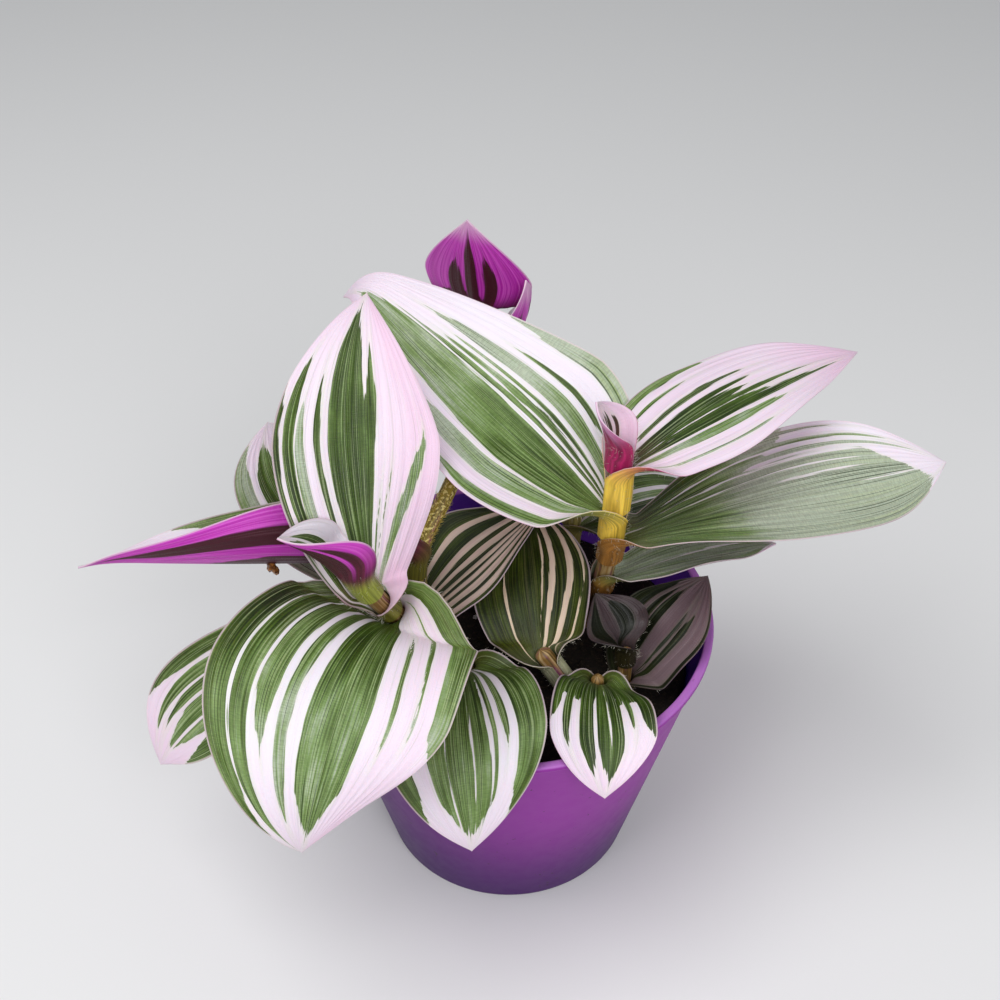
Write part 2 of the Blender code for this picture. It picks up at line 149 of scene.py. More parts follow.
LEAVES = {
    "leaf_right_low": dict(
        slot="leaf_silver", stem="right", at=32.5, heading=5.7, rise=29.3, fall=-4.5, length=47.2,
        width=21.0, widest=0.56, point=1.68, base=0.41, cup=20, roll=15.8, twist=-5.5, neck=5.2,
        flare=1.91, sheath_colour=BROWN, lines=0.6,
        bands=((-1.2, 1.2, 0.97, 0.9), (-0.02, 0.04, 0.8, -1, -1, -0.5)),
    ),
    "leaf_right_long": dict(
        slot="leaf_silver", stem="right", at=49.1, heading=7.5, face=-26.7, swing=6.6, rise=25.5,
        fall=-1.5, bend=0.68, length=88.0, width=40.7, widest=0.53, point=2.23, base=0.32, cup=18.4,
        roll=25.7, twist=-48.5, neck=7.0, flare=1.67, fan=(0.3, 0.9), silver=0.85,
        sheath_colour=BROWN, neck_colour=BROWN, blush_tip=0.1,
        bands=(
            (-0.52, 1.6, 0.94, 0.45), (-1.6, -0.52, 0.6, 0.2), (-0.95, -0.88, 0.74, 0.2, 0.3),
            (-0.78, -0.72, 0.88, 0.1, 0.4), (-0.64, -0.58, 0.9, 0.3, 0.45),
            (-0.72, -0.69, 0.6, -1, 0.2), (-0.5, -0.47, 0.95, -1, 0.3), (-0.36, -0.34, 0.95, -1),
            (-0.2, -0.18, 0.95, -1, 0.5), (0.05, 0.07, 0.95, -1, 0.6),
        ),
    ),
    "leaf_top_large": dict(
        slot="leaf_silver", stem="right", at=57.8, heading=138.8, face=39.4, swing=1.9, rise=23.8,
        fall=19.8, bend=0.98, length=101, width=52.7, widest=0.31, point=1.24, base=0.31, cup=28.4,
        roll=1.7, twist=39.9, curl=-65.4, neck=7.1, flare=1.76, fan=(0.5, 0.4), silver=0.35,
        sheath_colour=STRAW, neck_colour=GREEN, blush_left=0.3,
        bands=(
            (-0.97, -0.86, 0.42, 0.6), (-0.74, -0.53, 0.6, 0.75, -1, -0.1),
            (-0.44, 0.12, 0.9, 0.4, -1, 0.1), (0.15, 0.2, 0.78, 0.35), (0.23, 0.29, 0.64, 0.4),
            (0.32, 0.365, 0.62, 0.45), (0.42, 0.56, 0.7, 0.7), (0.62, 0.675, 0.47, 0.3, 0.2),
            (0.86, 1.2, 0.56, 0.85),
        ),
    ),
    "leaf_right_upper": dict(
        slot="leaf_pale", stem="right", at=66.5, heading=40.3, face=-44.3, swing=-10.7, rise=19.6,
        fall=-15.4, bend=1.25, length=82.3, width=33.7, widest=0.38, point=1.8, base=0.46, cup=-3.6,
        roll=4.4, twist=-6.9, sheath=9, neck=8.2, flare=1.69, fan=(0.3, 0.8), blush=0.6,
        blush_tip=0.5, sheath_colour=STRAW, neck_colour=WINE,
        bands=(
            (-1, -0.86, 0.52, 0.55, 0.1), (-0.72, -0.66, 0.42, 0.65, 0.05),
            (-0.41, -0.31, 0.585, 0.12, 0.15), (-0.2, -0.1, 0.58, 0.15), (-0.1, 0.07, 0.53, 0.15),
            (0.07, 0.16, 0.78, 0.35, -1, 0.1), (0.17, 0.28, 0.6, 0.3, -1, 0.1),
            (0.28, 0.4, 0.84, 0.2, -1, 0.1), (0.47, 0.62, 0.6, 0.75, -1, 0.1),
            (0.8, 0.83, 0.5, 0.8),
        ),
    ),
    "leaf_right_rolled": dict(
        slot="leaf_pale", stem="right", at=79, heading=165, rise=80, fall=68, length=15, width=18,
        cup=120, cup_tip=70, wave=0, sheath=4, blush=0.9, margin=0.3, sheath_colour=WINE,
        neck_colour=WINE,
        bands=(
            (-0.6, -0.48, 0.7, 0), (-0.34, -0.18, 0.84, 0), (-0.08, 0.06, 0.72, 0),
            (0.15, 0.3, 0.8, 0), (0.4, 0.52, 0.68, 0),
        ),
    ),
    "leaf_left_low": dict(
        slot="leaf_pale", stem="left", at=31.2, heading=194.2, swing=-3.5, rise=11.1, fall=-72.4,
        bend=1.36, length=87.1, width=26.8, widest=0.62, point=2.56, base=0.56, cup=28.0, roll=25.6,
        twist=19.0, flare=1.57, blush=0.45,
        bands=(
            (-1.6, -0.5, 0.9, 0.5), (-0.42, 0.14, 0.92, 0.6), (0.2, 0.34, 0.9, 0.5),
            (0.4, 0.62, 0.9, 0.55), (0.7, 1.6, 0.84, 0.4), (-0.2, -0.15, 2, -1),
        ),
    ),
    "leaf_front_large": dict(
        slot="leaf_pale", stem="left", at=46.3, heading=243.3, face=83.6, swing=17.8, rise=40.2,
        fall=-87.2, bend=1.04, length=76.8, width=55.0, widest=0.43, point=1.88, base=0.85,
        cup=17.0, cup_tip=-16.4, roll=0.2, twist=22.6, neck=5.2, flare=1.4, fan=(0.55, 0.15),
        silver=0.4, sheath_colour=GREEN, neck_colour=OLIVE, blush_left=0.4,
        bands=(
            (-1.6, -0.86, 0.66, 0.45), (-0.74, -0.71, 0.55, 0.6, 0.05),
            (-0.57, -0.53, 0.6, 0.3, 0.1), (-0.38, 0.11, 0.93, 0.25),
            (0.22, 0.33, 0.88, 0.4, -1, 0.05), (0.39, 0.56, 0.66, 0.35), (0.6, 0.76, 0.95, 0.2),
            (0.78, 1.2, 0.92, 0.05),
        ),
    ),
    "leaf_left_upright": dict(
        slot="leaf_pale", stem="left", at=54.5, heading=110.4, face=-55.4, swing=-29.2, rise=68,
        fall=16.8, bend=1.28, length=78.2, width=38.5, widest=0.48, point=1.54, base=0.3, cup=4.4,
        roll=-13.8, twist=7.7, neck=4.5, flare=1.44, fan=(0.2, 0.75), blush=0.35, blush_right=0.65,
        blush_left=0.1, sheath_colour=OLIVE, neck_colour=WINE,
        bands=(
            (-1.6, -0.93, 0.76, 0.1), (-0.88, -0.74, 0.75, 0.3), (-0.74, -0.62, 0.62, 0.95),
            (-0.5, -0.42, 0.72, 0.25, -1, -0.12), (-0.33, 0.12, 0.94, 0.3, -1, -0.1),
            (0.1, 0.27, 0.53, 0.3, -1, 0.25), (0.12, 0.24, 0.8, 0.3, 0.4, 0.1),
            (0.74, 0.88, 0.5, 0.8, -1, 0.66), (0.36, 0.385, 0.38, 0.6, -1, 0.3),
            (0.46, 0.48, 0.36, 0.6, -1, 0.3),
        ),
    ),
    "leaf_left_young": dict(
        slot="leaf_magenta", stem="left", at=64.2, heading=199.2, rise=66.7, fall=37.1, length=25.9,
        width=26, cup=98.0, roll=-21.6, wave=0, neck=5.6, flare=1.51,
        sheath_colour=(0.30, 0.33, 0.05), neck_colour=MAROON,
        bands=((-0.5, 0.35, 0.9, 0.3), (-0.74, -0.58, 0.8, 0.3), (0.45, 0.62, 0.8, 0.3)),
    ),
    "leaf_left_folded": dict(
        slot="leaf_magenta", stem="back", at=34.9, heading=198.6, swing=-21.7, rise=14.5, fall=0.6,
        bend=0.74, length=87.2, width=42.2, widest=0.39, point=1.59, base=0.56, cup=103.7,
        roll=-38.4, twist=6.0, curl=-20, neck=6.7, flare=1.65, sheath_colour=OLIVE,
        neck_colour=MAROON,
        bands=(
            (-0.78, -0.55, 0.9, 0.4), (-0.35, 0.3, 0.62, 0.4), (0.45, 0.7, 0.85, 0.4),
            (0.82, 1.6, 0.8, 0.6, 0.1),
        ),
    ),
    "leaf_left_behind": dict(
        slot="leaf_silver", stem="back", at=23.8, heading=157.6, face=-70.7, swing=-36.0, rise=4.1,
        fall=49.5, length=61.1, width=36.8, widest=0.61, point=2.9, cup=21.0, roll=-5.3, twist=13.7,
        neck=6.3, flare=1.87,
        bands=(
            (-1.6, -0.62, 0.97, 0.9), (-0.52, -0.08, 0.92, 0.35), (0.02, 0.16, 0.88, 0.3),
            (0.24, 0.52, 0.93, 0.85), (0.6, 1.6, 0.96, 0.6),
        ),
    ),
    "leaf_centre_striped": dict(
        slot="leaf_olive", stem="back", at=15.2, heading=18.6, face=-71.7, rise=45.6, fall=31.2,
        length=44.6, width=36, widest=0.43, point=1.55, base=0.57, roll=2.3, neck=5.8, flare=1.45,
        fan=(0.6, 0.1), warm=0.6, lines=0.3,
        bands=(
            (-1.6, 1.6, 2, 0.12), (-0.7, -0.59, 2, -1), (-0.36, -0.22, 2, -1), (-0.11, 0, 2, -1),
            (0.1, 0.19, 2, -1), (0.26, 0.37, 2, -1), (0.44, 0.6, 2, -1), (0.7, 0.88, 2, -1),
        ),
    ),
    "leaf_left_rear": dict(
        stem="back", at=68, heading=118, rise=0, fall=-50, length=52, width=30,
    ),
    "leaf_bud_right": dict(
        slot="leaf_magenta", stem="back", at=95.9, heading=339.1, face=32.7, rise=30.3, fall=99.8,
        length=30.9, width=24, cup=61.2, roll=3.7, wave=0, sheath=4, neck=6.5, flare=1.91,
        blush_tip=0.8, sheath_colour=MAROON, neck_colour=MAROON,
        bands=((-0.6, -0.1, 0.8, 0.3), (0.15, 0.55, 0.75, 0.3)),
    ),
    "leaf_bud_left": dict(
        slot="leaf_magenta", stem="back", at=109.7, heading=257.1, rise=72.1, fall=78.3,
        length=34.5, width=30.5, widest=0.36, point=1.39, cup=29.9, roll=5.0, wave=0, sheath=4,
        neck=4.5, flare=1.44, blush_tip=0.8, sheath_colour=MAROON, neck_colour=MAROON,
        bands=(
            (-0.45, -0.2, 0.66, 0.3), (-0.1, 0.15, 0.83, 0.3), (0.2, 0.5, 0.6, 0.3),
            (-0.45, 1.0, 0.3, 0.3),
        ),
    ),
    "leaf_front_hanging": dict(
        stem="front", at=17.7, heading=265.4, swing=19.0, rise=58.2, fall=-82.3, bend=0.86,
        length=64.1, width=39.9, widest=0.49, point=1.73, base=0.54, cup=17.8, roll=-1.1,
        twist=-0.2, sheath=4, neck=5.8, flare=1.41, fan=(0.9, 0.5), silver=0.2,
        bands=(
            (-1.6, -0.66, 0.88, 0.3), (-0.56, -0.48, 0.6, 0.3), (-0.4, 0.44, 0.93, 0.35),
            (0.52, 0.6, 0.55, 0.1), (0.68, 1.6, 0.86, 0.2), (-0.34, -0.3, 0.8, -1, 0.15, -0.1),
            (-0.1, -0.08, 0.95, -1, 0.3, -0.05), (0.2, 0.22, 0.95, -1, 0.4),
            (-0.28, -0.12, 0.9, 0.95, 0.55, -0.1), (0.02, 0.12, 0.9, 0.9, 0.6),
        ),
    ),
    "leaf_centre_olive": dict(
        slot="leaf_olive", stem="middle", at=17.9, heading=95.2, face=20.5, swing=-0.2, rise=34.9,
        fall=10.9, length=45.5, width=31.8, widest=0.45, point=1.74, base=0.56, roll=21.8,
        twist=-3.0, sheath=7, neck=5.4, flare=1.4, fan=(0.2, 0.6), warm=0.7, lines=0.25, blush=0.0,
        sheath_colour=(0.45, 0.45, 0.28), neck_colour=OLIVE,
        bands=(
            (-1.2, 1.2, 2, 0.12), (-0.52, -0.49, 0.6, -1), (0.14, 0.17, 0.95, -1, -1, 0.3),
            (0.27, 0.39, 2, -1, -1, 0.3), (0.6, 0.72, 2, -1, -1, 0.3), (0.88, 0.92, 2, -1, -1, 0.2),
        ),
    ),
    "leaf_rim_small": dict(
        stem="rim", at=15.4, heading=266.2, swing=7.4, rise=57.5, fall=-62.0, bend=0.94,
        length=44.2, width=25.9, widest=0.62, point=1.62, base=0.37, cup=20.4, roll=12.7,
        twist=-9.3, sheath=4, neck=5.8, flare=1.4, fan=(0.5, 0.3), blush=0.4,
        bands=(
            (-1.6, 1.6, 0.42, 0.2), (-0.62, -0.5, 0.6, 0.5, -1, -0.2),
            (-0.38, 0.1, 0.9, 0.2, -1, -0.1), (0.16, 0.44, 0.86, 0.1),
            (0.6, 0.74, 0.7, 0.2, -1, 0.05), (-1.6, -0.76, 0.7, 0.2),
            (-0.16, -0.13, 0.9, -1, 0.25, -0.1), (0.82, 1.6, 0.62, 0.2),
        ),
    ),
    # painted shade: both low leaves are darkened nearly to black, as they lie in the plant's shadow
    "leaf_low_right": dict(
        slot="leaf_olive", stem="low", at=10.5, heading=29.7, face=-11.4, swing=16.6, rise=58.8,
        fall=13.5, length=36.4, width=26.0, widest=0.45, point=1.77, base=0.72, cup=9.5, roll=3.3,
        twist=0.8, sheath=4, neck=4.9, flare=1.4, warm=0.3, blush=0.9, shade=0.2, margin=0.2,
        bands=(
            (-1.2, -0.65, 0.9, 0.2), (-0.55, -0.42, 0.8, 0.15), (-0.38, -0.18, 0.8, 0.15),
            (0.22, 0.3, 0.7, 0.2), (0.36, 0.52, 0.7, 0.2), (0.92, 1, 0.9, 0.1),
        ),
    ),
    "leaf_low_inner": dict(
        slot="leaf_olive", stem="low", at=21.4, heading=129.2, face=62.3, rise=61.0, fall=24.2,
        length=18.0, width=20, cup=24.7, roll=0.3, sheath=4, neck=6.4, flare=1.52, warm=0.3,
        blush=0.9, shade=0.07, margin=0.2,
        bands=((-0.8, -0.4, 0.9, 0.2), (0.1, 0.6, 0.8, 0.15)),
    ),
    "leaf_rear_right": dict(
        stem="rear", at=21.2, heading=30.1, face=-65.1, rise=25.6, fall=-50.3, length=62.0,
        width=34, cup=24.7, roll=-0.6,
    ),
    "leaf_rear_left": dict(
        stem="rear", at=30, heading=110, face=60, rise=30, fall=-40, length=60, width=34, neck=7,
    ),
    "leaf_rear_young": dict(
        stem="rear", at=39.3, heading=75, rise=60, fall=30, length=22, width=20, cup=40,
    ),
}


# ---------------------------------------------------------------- shared mathematics

def smooth(x):
    """Rises from 0 to 1 with level ends: 3 x^2 - 2 x^3 with x held between 0 and 1."""
    x = np.clip(x, 0.0, 1.0)
    return x * x * (3.0 - 2.0 * x)


def unit(v):
    return v / np.maximum(np.linalg.norm(v, axis=-1, keepdims=True), 1e-12)


def stem_line(points, steps):
    """A smooth line through the points (Catmull-Rom), and its direction along the way."""
    p = np.array(points, float)
    p = np.vstack([2 * p[0] - p[1], p, 2 * p[-1] - p[-2]])
    t = np.linspace(0.0, len(p) - 3.0, steps)
    i = np.minimum(t.astype(int), len(p) - 4)
    f = (t - i)[:, None]
    a, b, c, d = p[i], p[i + 1], p[i + 2], p[i + 3]
    square = 2 * a - 5 * b + 4 * c - d
    cube = 3 * b - a - 3 * c + d
    line = 0.5 * (2 * b + (c - a) * f + square * f**2 + cube * f**3)
    return line, unit((c - a) + 2 * square * f + 3 * cube * f**2)


def distances(line):
    """How far along the line each of its points lies."""
    steps = np.linalg.norm(np.diff(line, axis=0), axis=1)
    return np.concatenate([[0.0], np.cumsum(steps)])


def sample(at, way, rows):
    """The rows, which lie at the distances `way`, read off at other distances."""
    return np.stack([np.interp(at, way, rows[:, i]) for i in range(3)], -1)


def stem_place(stem, distance):
    """The point this far up the stem, and the stem's direction there."""
    line, ways = stem_line(STEMS[stem][0], 240)
    along = distances(line)
    return sample(distance, along, line), unit(sample(distance, along, ways))


def waves_2d(x, y, size, seed, count=14):
    """Rolling noise of about the given size: the mean of sine waves in random directions."""
    rng = np.random.default_rng(seed)
    total = np.zeros(np.broadcast(x, y).shape)
    for _ in range(count):
        angle, phase, stretch = rng.uniform(0, math.tau, 2).tolist() + [rng.uniform(0.6, 1.7)]
        k = math.tau / (size * stretch)
        total = total + np.sin(k * (x * math.cos(angle) + y * math.sin(angle)) + phase)
    return total / math.sqrt(count)


# ---------------------------------------------------------------- meshes

def grid_faces(rows, columns, wrap=False):
    """Quads of a grid of points, row by row; wrap joins the last column to the first."""
    i = np.arange(rows - 1)[:, None]
    j = np.arange(columns if wrap else columns - 1)[None, :]
    k = (j + 1) % columns
    a, b = i * columns + j, i * columns + k
    return np.stack([a, b, b + columns, a + columns], -1).reshape(-1, 4)


ATTRIBUTE_KINDS = {
    (): ("FLOAT", "value"), (3,): ("FLOAT_VECTOR", "vector"), (4,): ("FLOAT_COLOR", "color"),
}


def write_mesh(name, points, quads, triangles=(), attributes=None, sharp=None):
    """A mesh in metres from points in millimetres, with its point attributes."""
    mesh = bpy.data.meshes.new(name)
    quads = np.asarray(quads, np.int32).reshape(-1, 4)
    triangles = np.asarray(triangles, np.int32).reshape(-1, 3)
    loops = np.concatenate([quads.ravel(), triangles.ravel()])
    sizes = np.concatenate([np.full(len(quads), 4), np.full(len(triangles), 3)])
    starts = np.concatenate([[0], np.cumsum(sizes)[:-1]])
    mesh.vertices.add(len(points))
    mesh.vertices.foreach_set("co", (np.asarray(points) * MM).astype(np.float32).ravel())
    mesh.loops.add(len(loops))
    mesh.loops.foreach_set("vertex_index", loops.astype(np.int32))
    mesh.polygons.add(len(sizes))
    mesh.polygons.foreach_set("loop_start", starts.astype(np.int32))
    for key, values in (attributes or {}).items():
        values = np.asarray(values, np.float32)
        kind, field = ATTRIBUTE_KINDS[values.shape[1:]]
        mesh.attributes.new(key, kind, "POINT").data.foreach_set(field, values.ravel())
    mesh.update(calc_edges=True)
    mesh.validate()
    mesh.shade_smooth()
    if sharp is not None:
        mesh.set_sharp_from_angle(angle=math.radians(sharp))
    return mesh


def add_piece(name, mesh, material, slot, *nodes):
    """Links a finished piece that moves with the plant and stands for the given nodes."""
    piece = bpy.data.objects.new(name, mesh)
    mesh.materials.append(material)
    bpy.context.scene.collection.objects.link(piece)
    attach(piece, "root")
    if nodes:
        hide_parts(*nodes)
    return piece


def closed_sheet(top, bottom):
    """Points and quads of a closed shell between two grids: both faces, two rims, two ends."""
    rows, columns = top.shape[:2]
    count = rows * columns
    upper = grid_faces(rows, columns)
    lower = upper[:, ::-1] + count
    i = np.arange(rows - 1)
    j = np.arange(columns - 1)
    right = i * columns + columns - 1
    left = i * columns
    ahead = (rows - 1) * columns + j
    rims = [
        np.stack([right, right + count, right + count + columns, right + columns], -1),
        np.stack([left + columns, left + columns + count, left + count, left], -1),
        np.stack([j, j + count, j + count + 1, j + 1], -1),
        np.stack([ahead + 1, ahead + 1 + count, ahead + count, ahead], -1),
    ]
    points = np.concatenate([top.reshape(-1, 3), bottom.reshape(-1, 3)])
    return points, np.concatenate([upper, lower, *rims])


def circles(across, over, sides):
    """Unit circles of points, one in the plane of each pair of directions."""
    angle = np.linspace(0.0, math.tau, sides, endpoint=False)[None, :, None]
    return np.cos(angle) * across[:, None] + np.sin(angle) * over[:, None]


def closed_rings(rings, first, last, flip=False):
    """Points, quads and end triangles of rings of points that two poles close."""
    rows, sides = rings.shape[:2]
    quads = grid_faces(rows, sides, wrap=True)
    j = np.arange(sides)
    k = (j + 1) % sides
    pole, end = rows * sides, (rows - 1) * sides
    caps = np.concatenate([
        np.stack([k, j, np.full(sides, pole)], -1),
        np.stack([end + j, end + k, np.full(sides, pole + 1)], -1),
    ])
    points = np.vstack([rings.reshape(-1, 3), first, last])
    return (points, quads[:, ::-1], caps[:, ::-1]) if flip else (points, quads, caps)


def tube(line, radii, sides):
    """A closed tube of rings carried along a line, their frames turned as little as can be."""
    way = unit(np.gradient(line, axis=0))
    across = np.empty_like(line)
    across[0] = unit(np.cross(way[0], (0.0, 1.0, 0.0)))
    for i in range(1, len(line)):
        across[i] = unit(across[i - 1] - np.dot(across[i - 1], way[i]) * way[i])
    over = np.cross(way, across)
    radii = np.broadcast_to(radii, (len(line), sides))
    rings = line[:, None] + radii[..., None] * circles(across, over, sides)
    return closed_rings(rings, line[0], line[-1])


def turned(profile, steps):
    """The solid made by turning a profile of (radius, height) from axis to axis."""
    profile = np.asarray(profile, float)
    angle = np.linspace(0.0, math.tau, steps, endpoint=False)
    body = profile[1:-1]
    rings = np.stack([
        body[:, None, 0] * np.cos(angle), body[:, None, 0] * np.sin(angle),
        np.broadcast_to(body[:, None, 1], (len(body), steps)),
    ], -1)
    return closed_rings(rings, (0, 0, profile[0, 1]), (0, 0, profile[-1, 1]), flip=True)


def rounded(profile, radius, steps=4):
    """The profile with each inner corner replaced by a short curve through its middle."""
    profile = np.asarray(profile, float)
    made = [profile[0]]
    for before, corner, after in zip(profile[:-2], profile[1:-1], profile[2:]):
        one, two = before - corner, after - corner
        reach_one = min(radius, 0.45 * np.linalg.norm(one))
        reach_two = min(radius, 0.45 * np.linalg.norm(two))
        a = corner + unit(one) * reach_one
        b = corner + unit(two) * reach_two
        for s in np.linspace(0.0, 1.0, steps + 1):
            made.append((1 - s) ** 2 * a + 2 * s * (1 - s) * corner + s * s * b)
    made.append(profile[-1])
    return np.array(made)


def blobs(name, centres, sizes, seed, squash=0.75):
    """Many small lumps in one mesh: each is a ball of 3 by 6 points, dented at random."""
    rng = np.random.default_rng(seed)
    polar = np.linspace(0, math.pi, 5)
    arc = np.stack([np.sin(polar), np.cos(polar)], -1)
    ball, quads, caps = turned(arc, 6)
    count, each = len(centres), len(ball)
    dent = rng.uniform(0.65, 1.15, (count, each, 1))
    stretch = rng.uniform(0.6, 1.3, (count, 1, 3)) * (1, 1, squash)
    turn = rng.uniform(0, math.tau, count)
    shape = ball[None] * dent * stretch * np.asarray(sizes)[:, None, None]
    cosine, sine = np.cos(turn)[:, None], np.sin(turn)[:, None]
    spun = np.stack([
        shape[..., 0] * cosine - shape[..., 1] * sine,
        shape[..., 0] * sine + shape[..., 1] * cosine, shape[..., 2],
    ], -1)
    points = (spun + np.asarray(centres)[:, None]).reshape(-1, 3)
    offset = (np.arange(count) * each)[:, None, None]
    return write_mesh(name, points, quads[None] + offset, caps[None] + offset, sharp=30)


def hairs(name, roots, ways, lengths, radius):
    """Fine hairs in one mesh: each is a three-sided spike from its root along its way."""
    ways = unit(ways)
    side = unit(np.cross(ways, (0.31, 0.17, 0.93)))
    foot = roots[:, None] + radius * circles(side, np.cross(ways, side), 3)
    tip = roots + ways * lengths[:, None]
    points = np.concatenate([foot, tip[:, None]], 1).reshape(-1, 3)
    faces = np.array([(0, 1, 3), (1, 2, 3), (2, 0, 3), (2, 1, 0)])
    return write_mesh(name, points, [], faces[None] + 4 * np.arange(len(roots))[:, None, None])


# ---------------------------------------------------------------- materials

class Nodes:
    """A node material being built: each call adds a node and gives back its output."""

    def __init__(self, name):
        self.material = bpy.data.materials.new(name)
        self.material.use_nodes = True
        self.tree = self.material.node_tree
        self.shader = self.tree.nodes["Principled BSDF"]

    def put(self, kind, inputs=None, out=0, **settings):
        node = self.tree.nodes.new(kind)
        for key, value in settings.items():
            setattr(node, key, value)
        for key, value in (inputs or {}).items():
            self.give(node.inputs[key], value)
        return node.outputs[out]

    def give(self, socket, value):
        if isinstance(value, bpy.types.NodeSocket):
            self.tree.links.new(value, socket)
        elif socket.type == "RGBA" and len(value) == 3:
            socket.default_value = (*value, 1.0)
        else:
            socket.default_value = value

    def set(self, **inputs):
        for key, value in inputs.items():
            self.give(self.shader.inputs[key.replace("_", " ")], value)

    def attribute(self, name, out="Fac"):
        return self.put("ShaderNodeAttribute", out=out, attribute_name=name)

    def coordinates(self, scale, source=None):
        place = source or self.put("ShaderNodeTexCoord", out="Object")
        return self.put("ShaderNodeMapping", {"Vector": place, "Scale": scale})

    def noise(self, place, scale=1.0, detail=2.0, rough=0.5):
        inputs = {"Vector": place, "Scale": scale, "Detail": detail, "Roughness": rough}
        return self.put("ShaderNodeTexNoise", inputs, out="Fac")

    def grain(self, scale, detail=2.0, rough=0.5, place=None):
        """Noise with about this many lumps to a metre."""
        return self.noise(self.coordinates((scale, scale, scale), place), 1.0, detail, rough)

    def fibres(self, vein, across, along, detail=2.0, rough=0.5):
        """Noise stretched along the veins; its scales are lumps to a millimetre."""
        return self.noise(self.coordinates((across, along, 1.0), vein), 1.0, detail, rough)

    def maths(self, operation, a, b=0.0):
        return self.put("ShaderNodeMath", {0: a, 1: b}, operation=operation)

    def swing(self, noise, size):
        """A noise turned into an offset of about half the size either way."""
        return self.maths("MULTIPLY", self.maths("SUBTRACT", noise, 0.5), size)

    def ease(self, value, low, high, to_low=0.0, to_high=1.0):
        """Maps low..high smoothly to to_low..to_high."""
        inputs = {0: value, 1: low, 2: high, 3: to_low, 4: to_high}
        return self.put("ShaderNodeMapRange", inputs, interpolation_type="SMOOTHSTEP")

    def mix(self, share, a, b, blend="MIX"):
        inputs = {0: share, 6: a, 7: b}
        return self.put("ShaderNodeMix", inputs, out=2, data_type="RGBA", blend_type=blend)

    def dim(self, colour, factor):
        """The colour multiplied by a number."""
        grey = self.put("ShaderNodeCombineColor", {0: factor, 1: factor, 2: factor})
        return self.mix(1.0, colour, grey, "MULTIPLY")

    def ramp(self, value, *stops):
        node = self.tree.nodes.new("ShaderNodeValToRGB")
        self.give(node.inputs[0], value)
        while len(node.color_ramp.elements) < len(stops):
            node.color_ramp.elements.new(0.5)
        for element, (place, colour) in zip(node.color_ramp.elements, stops):
            element.position = place
            element.color = (*colour, 1.0)
        return node.outputs[0]

    def bump(self, height, strength, distance):
        inputs = {"Height": height, "Strength": strength, "Distance": distance * MM}
        self.set(Normal=self.put("ShaderNodeBump", inputs))


def leaf_material(settings):
    """Striped leaf: the stripes' field is roughened along the veins and cut at zero."""
    n = Nodes("variegated_leaf")
    vein = n.attribute("vein", "Vector")
    fingers = n.fibres(vein, 1.0, 0.045, rough=0.6)
    streaks = n.fibres(vein, 2.3, 0.03, detail=1.5)
    hairlines = n.fibres(vein, 4.6, 0.022, detail=0.0)
    ripple_and_sheen = n.fibres(vein, 0.5, 3.2)
    patches = n.fibres(vein, 0.30, 0.08, detail=3.0)
    cells = n.fibres(vein, 5.0, 5.0, detail=1.0)

    field = n.maths("ADD", n.attribute("green"), n.swing(fingers, 1.5))
    field = n.maths("ADD", field, n.swing(streaks, 0.35))
    green_share = n.ease(field, -0.07, 0.07)

    lines = n.attribute("lines")
    tone = n.maths("ADD", n.attribute("tone"), n.swing(patches, 0.9))
    tone = n.maths("ADD", tone, n.swing(streaks, 0.8))
    green = n.ramp(
        tone, (0.0, settings.deep_green), (0.35, settings.mid_green),
        (0.68, settings.grey_green), (1.0, settings.silver_green))
    line_share = n.maths("MULTIPLY", n.ease(hairlines, 0.58, 0.72, 0.0, 0.45), lines)
    green = n.mix(line_share, green, (0.42, 0.50, 0.27))
    green = n.mix(n.ease(hairlines, 0.30, 0.42, 0.75, 0.0), green, settings.deep_green)
    # painted sheen: the green lightens and darkens along the fine ripples across the veins; the
    # bump below gives the real ripples
    green = n.dim(green, n.ease(ripple_and_sheen, 0.3, 0.7, 0.86, 1.14))

    blush = n.maths("ADD", n.attribute("blush"), n.swing(patches, 0.5))
    pale = n.mix(blush, settings.white, settings.pink)
    pale = n.mix(n.ease(field, -0.9, 0.0, 0.0, 0.35), pale, (0.66, 0.72, 0.55))
    line_share = n.maths("MULTIPLY", n.ease(streaks, 0.60, 0.72, 0.0, 0.35), lines)
    pale = n.mix(line_share, pale, (0.52, 0.55, 0.44))
    upper = n.mix(green_share, pale, green)
    upper = n.mix(n.attribute("warm"), upper, n.mix(1.0, upper, (1.0, 0.72, 0.42), "MULTIPLY"))

    magenta = n.mix(n.ease(streaks, 0.35, 0.65), settings.magenta, settings.lilac)
    magenta = n.mix(n.ease(blush, 0.45, 1.1, 0.0, 0.7), magenta, settings.pink)
    under = n.mix(n.ease(field, -0.25, 0.25), magenta, settings.maroon)
    colour = n.mix(n.attribute("under"), upper, under)
    rim = n.ease(n.attribute("rim"), 0.15, 0.5, 1.0, 0.0)
    rim = n.maths("MULTIPLY", rim, n.attribute("margin"))
    colour = n.mix(rim, colour, settings.margin)
    tint = n.dim(n.attribute("tint", "Color"), n.ease(fingers, 0.3, 0.7, 0.55, 1.35))
    colour = n.mix(n.attribute("tint", "Alpha"), colour, tint)
    # painted shade: the shade attribute mixes the whole leaf towards black, for leaves in shadow
    # inside the plant
    colour = n.mix(n.attribute("shade"), (0.0, 0.0, 0.0), colour)
    n.set(
        Base_Color=colour, Roughness=n.ease(cells, 0.3, 0.7, 0.36, 0.5),
        Specular_IOR_Level=0.35, Subsurface_Weight=0.12, Subsurface_Radius=(1.0, 0.6, 0.45),
        Subsurface_Scale=0.002)
    height = n.maths("ADD", streaks, n.maths("MULTIPLY", ripple_and_sheen, 0.45))
    height = n.maths("ADD", height, n.maths("MULTIPLY", cells, 0.25))
    n.bump(height, 0.5, 0.35)
    return n.material


